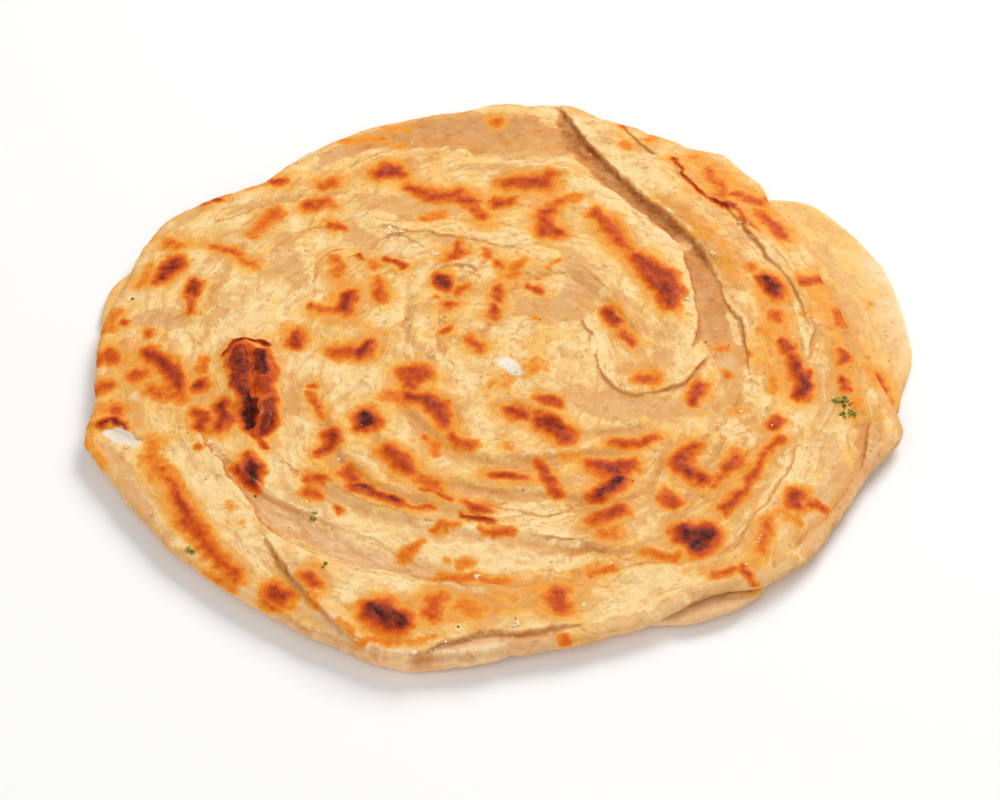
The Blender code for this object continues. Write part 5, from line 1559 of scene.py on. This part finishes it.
def crust_material(name, shift, mottle):
    """The bread's crust, coloured by the tone attributes; mottle is how uneven its ground is."""
    graph = Graph(name)
    place = graph.millimetres()
    coil = along_coil(graph, place, shift)
    noise_of, span, blend = graph.noise, graph.span, graph.blend
    total, product, sway = graph.total, graph.product, graph.sway
    tone = {key: graph.node("ShaderNodeAttribute", attribute_name=key).outputs["Fac"]
            for key in Shell.TONES}
    streak = noise_of(coil, 2.4, 4, 0.6)
    broad, middle, fine = noise_of(place, 7.0, 4), noise_of(place, 2.2, 4), noise_of(place, 0.7, 3)

    # Ground: golden crust, plain dough and paler, dusty dough.
    warm = total(tone["warm"], sway(broad, mottle), sway(middle, 0.6 * mottle),
                 sway(fine, 0.6 * mottle), sway(streak, 0.8 * mottle))
    # The dough's darkness, which is partly painted shade, picks the dough's colours.
    deep = total(tone["deep"], sway(middle, 0.5), sway(streak, 0.35))
    raw = span(total(tone["raw"], sway(broad, 0.7), sway(streak, 0.8), sway(fine, 0.4)), 0.22, 0.58)
    dusty = span(total(tone["dusty"], sway(broad, 0.6), sway(fine, 0.4)), 0.30, 0.75, 0.0, 0.9)
    colour = blend(raw, graph.ramp(warm, CRUST_RAMP), graph.ramp(deep, DOUGH_RAMP))
    colour = blend(dusty, colour, graph.ramp(deep, DUSTY_RAMP))

    # Mottling, which stays off plain dough and off the glow round the marks where it is cream.
    bare = product(span(graph.math("MAXIMUM", raw, dusty), 0.1, 0.8, 1.0, 0.15),
                   span(warm, 0.40, 0.85, 1.0, 0.25))
    layer = graph.math("FRACT", product(noise_of(coil, 11.0, 1, 0.4), 7.0))
    where = span(noise_of(place, 9.0, 3), 0.46, 0.58, 0.0, mottle)
    # Fine creases, darkened with painted shade.
    ridge = graph.math("ABSOLUTE", sway(noise_of(coil, 5.5, 5, 0.55), 1.0))
    crease = product(span(ridge, 0.003, 0.022, 0.50 * mottle, 0.0), span(middle, 0.46, 0.62))
    for share, tint in (
        (span(noise_of(coil, 6.0, 5, 0.6), 0.50, 0.62, 0.0, 0.55 * mottle), BROWN_COLOUR),
        (product(bare, span(noise_of(place, 7.0, 3, 0.5), 0.44, 0.64, 0.0, 0.80 * mottle)),
         CREAM_COLOUR),
        (product(bare, span(noise_of(coil, 3.2, 5, 0.65), 0.55, 0.66, 0.0, 0.50 * mottle)),
         CREAM_COLOUR),
        (span(noise_of(place, 3.4, 5, 0.65), 0.52, 0.60, 0.0, 0.42 * mottle), TAN_COLOUR),
        # Along the flaky layers: tan as painted shade under each layer's edge, and cream as painted
        # highlight where it is lit.
        (product(where, span(layer, 0.0, 0.40, 0.55, 0.0)), TAN_COLOUR),
        (product(where, bare, span(layer, 0.35, 1.0, 0.0, 0.40)), CREAM_COLOUR),
        (crease, CREASE_SHADE_COLOUR),
        (span(noise_of(place, 1.5, 4, 0.7), 0.50, 0.66, 0.0, 0.34), GRIT_COLOUR),
        (product(dots(graph, place, 2.3, 0.08), 0.5), SPECK_COLOUR),
        (product(dots(graph, place, 1.9, 0.05), 0.4), FLOUR_COLOUR),
    ):
        colour = blend(share, colour, tint)

    # Browning, and the bright edges of lips and flakes, which are pale dough and painted highlight.
    wander = total(sway(middle, 0.60), sway(fine, 0.25), sway(streak, 0.3))
    toast = total(tone["toast"], product(wander, span(tone["toast"], 0.0, 0.30)))
    colour = blend(span(toast, 0.03, 0.22), colour, graph.ramp(toast, TOAST_RAMP))
    pale = total(tone["pale"], sway(fine, 0.7), sway(middle, 0.4))
    whiteness = graph.ramp(pale, [(0.5, CREAM_COLOUR[:3]), (0.85, FLOUR_COLOUR[:3])])
    colour = blend(span(pale, 0.25, 0.9, 0.0, 0.9), colour, whiteness)

    gloss = graph.math("SUBTRACT", total(0.58, sway(middle, 0.3)), product(tone["toast"], 0.25))
    graph.bump(total(product(middle, 0.5), product(fine, 0.3), product(streak, 0.7),
                     product(layer, where, 0.12), product(crease, -0.3)), 0.7, 0.75)
    graph.set(Base_Color=colour, Roughness=gloss, Specular_IOR_Level=0.07, Subsurface_Weight=0.06,
              Subsurface_Radius=(1.0, 0.45, 0.2), Subsurface_Scale=1.2 * MM)
    return graph.material


# Looks of the small bits: colour stops, the mottling's size, roughness and glow from inside.
SMALL_LOOKS = {
    "coriander_bits": ("coriander_leaf", [
        (0.0, (0.055, 0.080, 0.008)), (0.4, (0.16, 0.19, 0.016)), (0.75, (0.32, 0.32, 0.035)),
        (1.0, (0.50, 0.46, 0.14))], 0.9, 0.5, 0.1),
    "flour_crumbs": ("flour_crumb", [
        (0.0, (0.86, 0.62, 0.36)), (0.5, (0.95, 0.82, 0.62)), (1.0, (0.97, 0.92, 0.82))],
        0.6, 0.8, 0.15),
    "burnt_specks": ("burnt_speck", [
        (0.0, (0.020, 0.010, 0.006)), (0.6, (0.06, 0.025, 0.012)), (1.0, (0.20, 0.08, 0.03))],
        0.5, 0.6, 0.0),
    "loose_flakes": ("loose_flake", [
        (0.0, (0.90, 0.60, 0.28)), (0.5, (0.95, 0.74, 0.45)), (1.0, (0.97, 0.88, 0.70))],
        1.2, 0.7, 0.15),
}


def small_material(piece_name):
    """A mottled material for a piece of small bits: its colours follow noise."""
    name, stops, size, roughness, glow = SMALL_LOOKS[piece_name]
    graph = Graph(name)
    place = graph.millimetres()
    mottle = graph.noise(place, size, 4)
    graph.bump(graph.noise(place, 0.4 * size, 3), 0.6, 0.1)
    graph.set(Base_Color=graph.ramp(graph.span(mottle, 0.3, 0.7), stops), Roughness=roughness,
              Specular_IOR_Level=0.2, Subsurface_Weight=glow, Subsurface_Radius=(1.0, 0.6, 0.3),
              Subsurface_Scale=0.5 * MM)
    return graph.material


def floor_material():
    """Plain, pale and matt."""
    graph = Graph("pale_floor")
    graph.set(Base_Color=(0.96, 0.96, 0.955, 1.0), Roughness=0.8)
    return graph.material


def make_floor():
    """A plain pale floor under the bread."""
    side = FLOOR_REACH
    mesh = bpy.data.meshes.new("floor")
    mesh.from_pydata([(-side, -side, 0), (side, -side, 0), (side, side, 0), (-side, side, 0)], [],
                     [(0, 1, 2, 3)])
    mesh.materials.append(floor_material())
    floor = bpy.data.objects.new("floor", mesh)
    bpy.context.scene.collection.objects.link(floor)
    floor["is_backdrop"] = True


def aim(thing, place, target):
    """Puts a camera or light into the scene at a place, looking at its target."""
    bpy.context.scene.collection.objects.link(thing)
    thing.location = place
    thing.rotation_euler = (Vector(target) - Vector(place)).to_track_quat("-Z", "Y").to_euler()


def make_light(name, place, side, power, colour):
    """A square light that looks at the middle of the bread."""
    data = bpy.data.lights.new(name, "AREA")
    data.shape = "RECTANGLE"
    data.size, data.size_y = side, side
    data.energy = power
    data.color = colour
    aim(bpy.data.objects.new(name, data), place, (0, 0, 0))


# The studio: angles in radians, lens in the usual millimetres, target on the plan in millimetres,
# everything else in metres and watts.
FLOOR_REACH = 1.6
CAMERA_ELEVATION = math.radians(46.0)
CAMERA_DISTANCE = 0.75
CAMERA_LENS = 102.0
CAMERA_TARGET = (1.0, -16.0, 4.0)


def make_studio(shift):
    """Camera, lights, world and floor."""
    target = [(value + offset) * MM for value, offset in zip(CAMERA_TARGET, shift)]
    data = bpy.data.cameras.new("camera")
    data.lens = CAMERA_LENS
    camera = bpy.data.objects.new("camera", data)
    place = (target[0], target[1] - CAMERA_DISTANCE * math.cos(CAMERA_ELEVATION),
             target[2] + CAMERA_DISTANCE * math.sin(CAMERA_ELEVATION))
    aim(camera, place, target)
    bpy.context.scene.camera = camera
    make_light("key", (0.50, 0.85, 0.90), 0.70, 13.4, (1.0, 0.985, 0.96))
    make_light("fill", (-0.35, -0.95, 0.75), 1.4, 8.4, (1.0, 1.0, 1.0))
    world = bpy.data.worlds.new("studio")
    world.use_nodes = True
    background = world.node_tree.nodes["Background"]
    background.inputs["Color"].default_value = (1.0, 1.0, 1.0, 1.0)
    background.inputs["Strength"].default_value = 0.36
    bpy.context.scene.world = world
    bpy.context.scene.view_settings.view_transform = "Standard"
    make_floor()


def plan_shift():
    """How far the plan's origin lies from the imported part's, in millimetres."""
    low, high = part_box("paratha")
    angle = np.radians(np.arange(0, 360, 0.5))
    outlines = (BREAD_OUTLINE, LEAF_OUTLINE)
    reach = np.array([around(np.degrees(angle), outline) for outline in outlines])
    x, y = reach * np.cos(angle), reach * np.sin(angle)
    middle = [(x.min() + x.max()) / 2, (y.min() + y.max()) / 2]
    packed = [(low[axis] + high[axis]) / 2 / MM for axis in (0, 1)]
    return np.array([packed[0] - middle[0], packed[1] - middle[1], 0.0])


def main():
    """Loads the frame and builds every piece."""
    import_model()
    packed_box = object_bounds()
    shift = plan_shift()
    make_studio(shift)
    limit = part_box("paratha")[1][2] / MM - TOP_CLEAR
    pieces = [make_bread(shift, limit), make_leaf(shift)]
    pieces += [make(shift, limit) for make in (make_herbs, make_crumbs, make_specks, make_flakes)]
    for piece in pieces:
        print(piece.name, sum(len(p.vertices) - 2 for p in piece.data.polygons), "triangles")
    boxes = [[list(corner) for corner in box] for box in (packed_box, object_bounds())]


main()
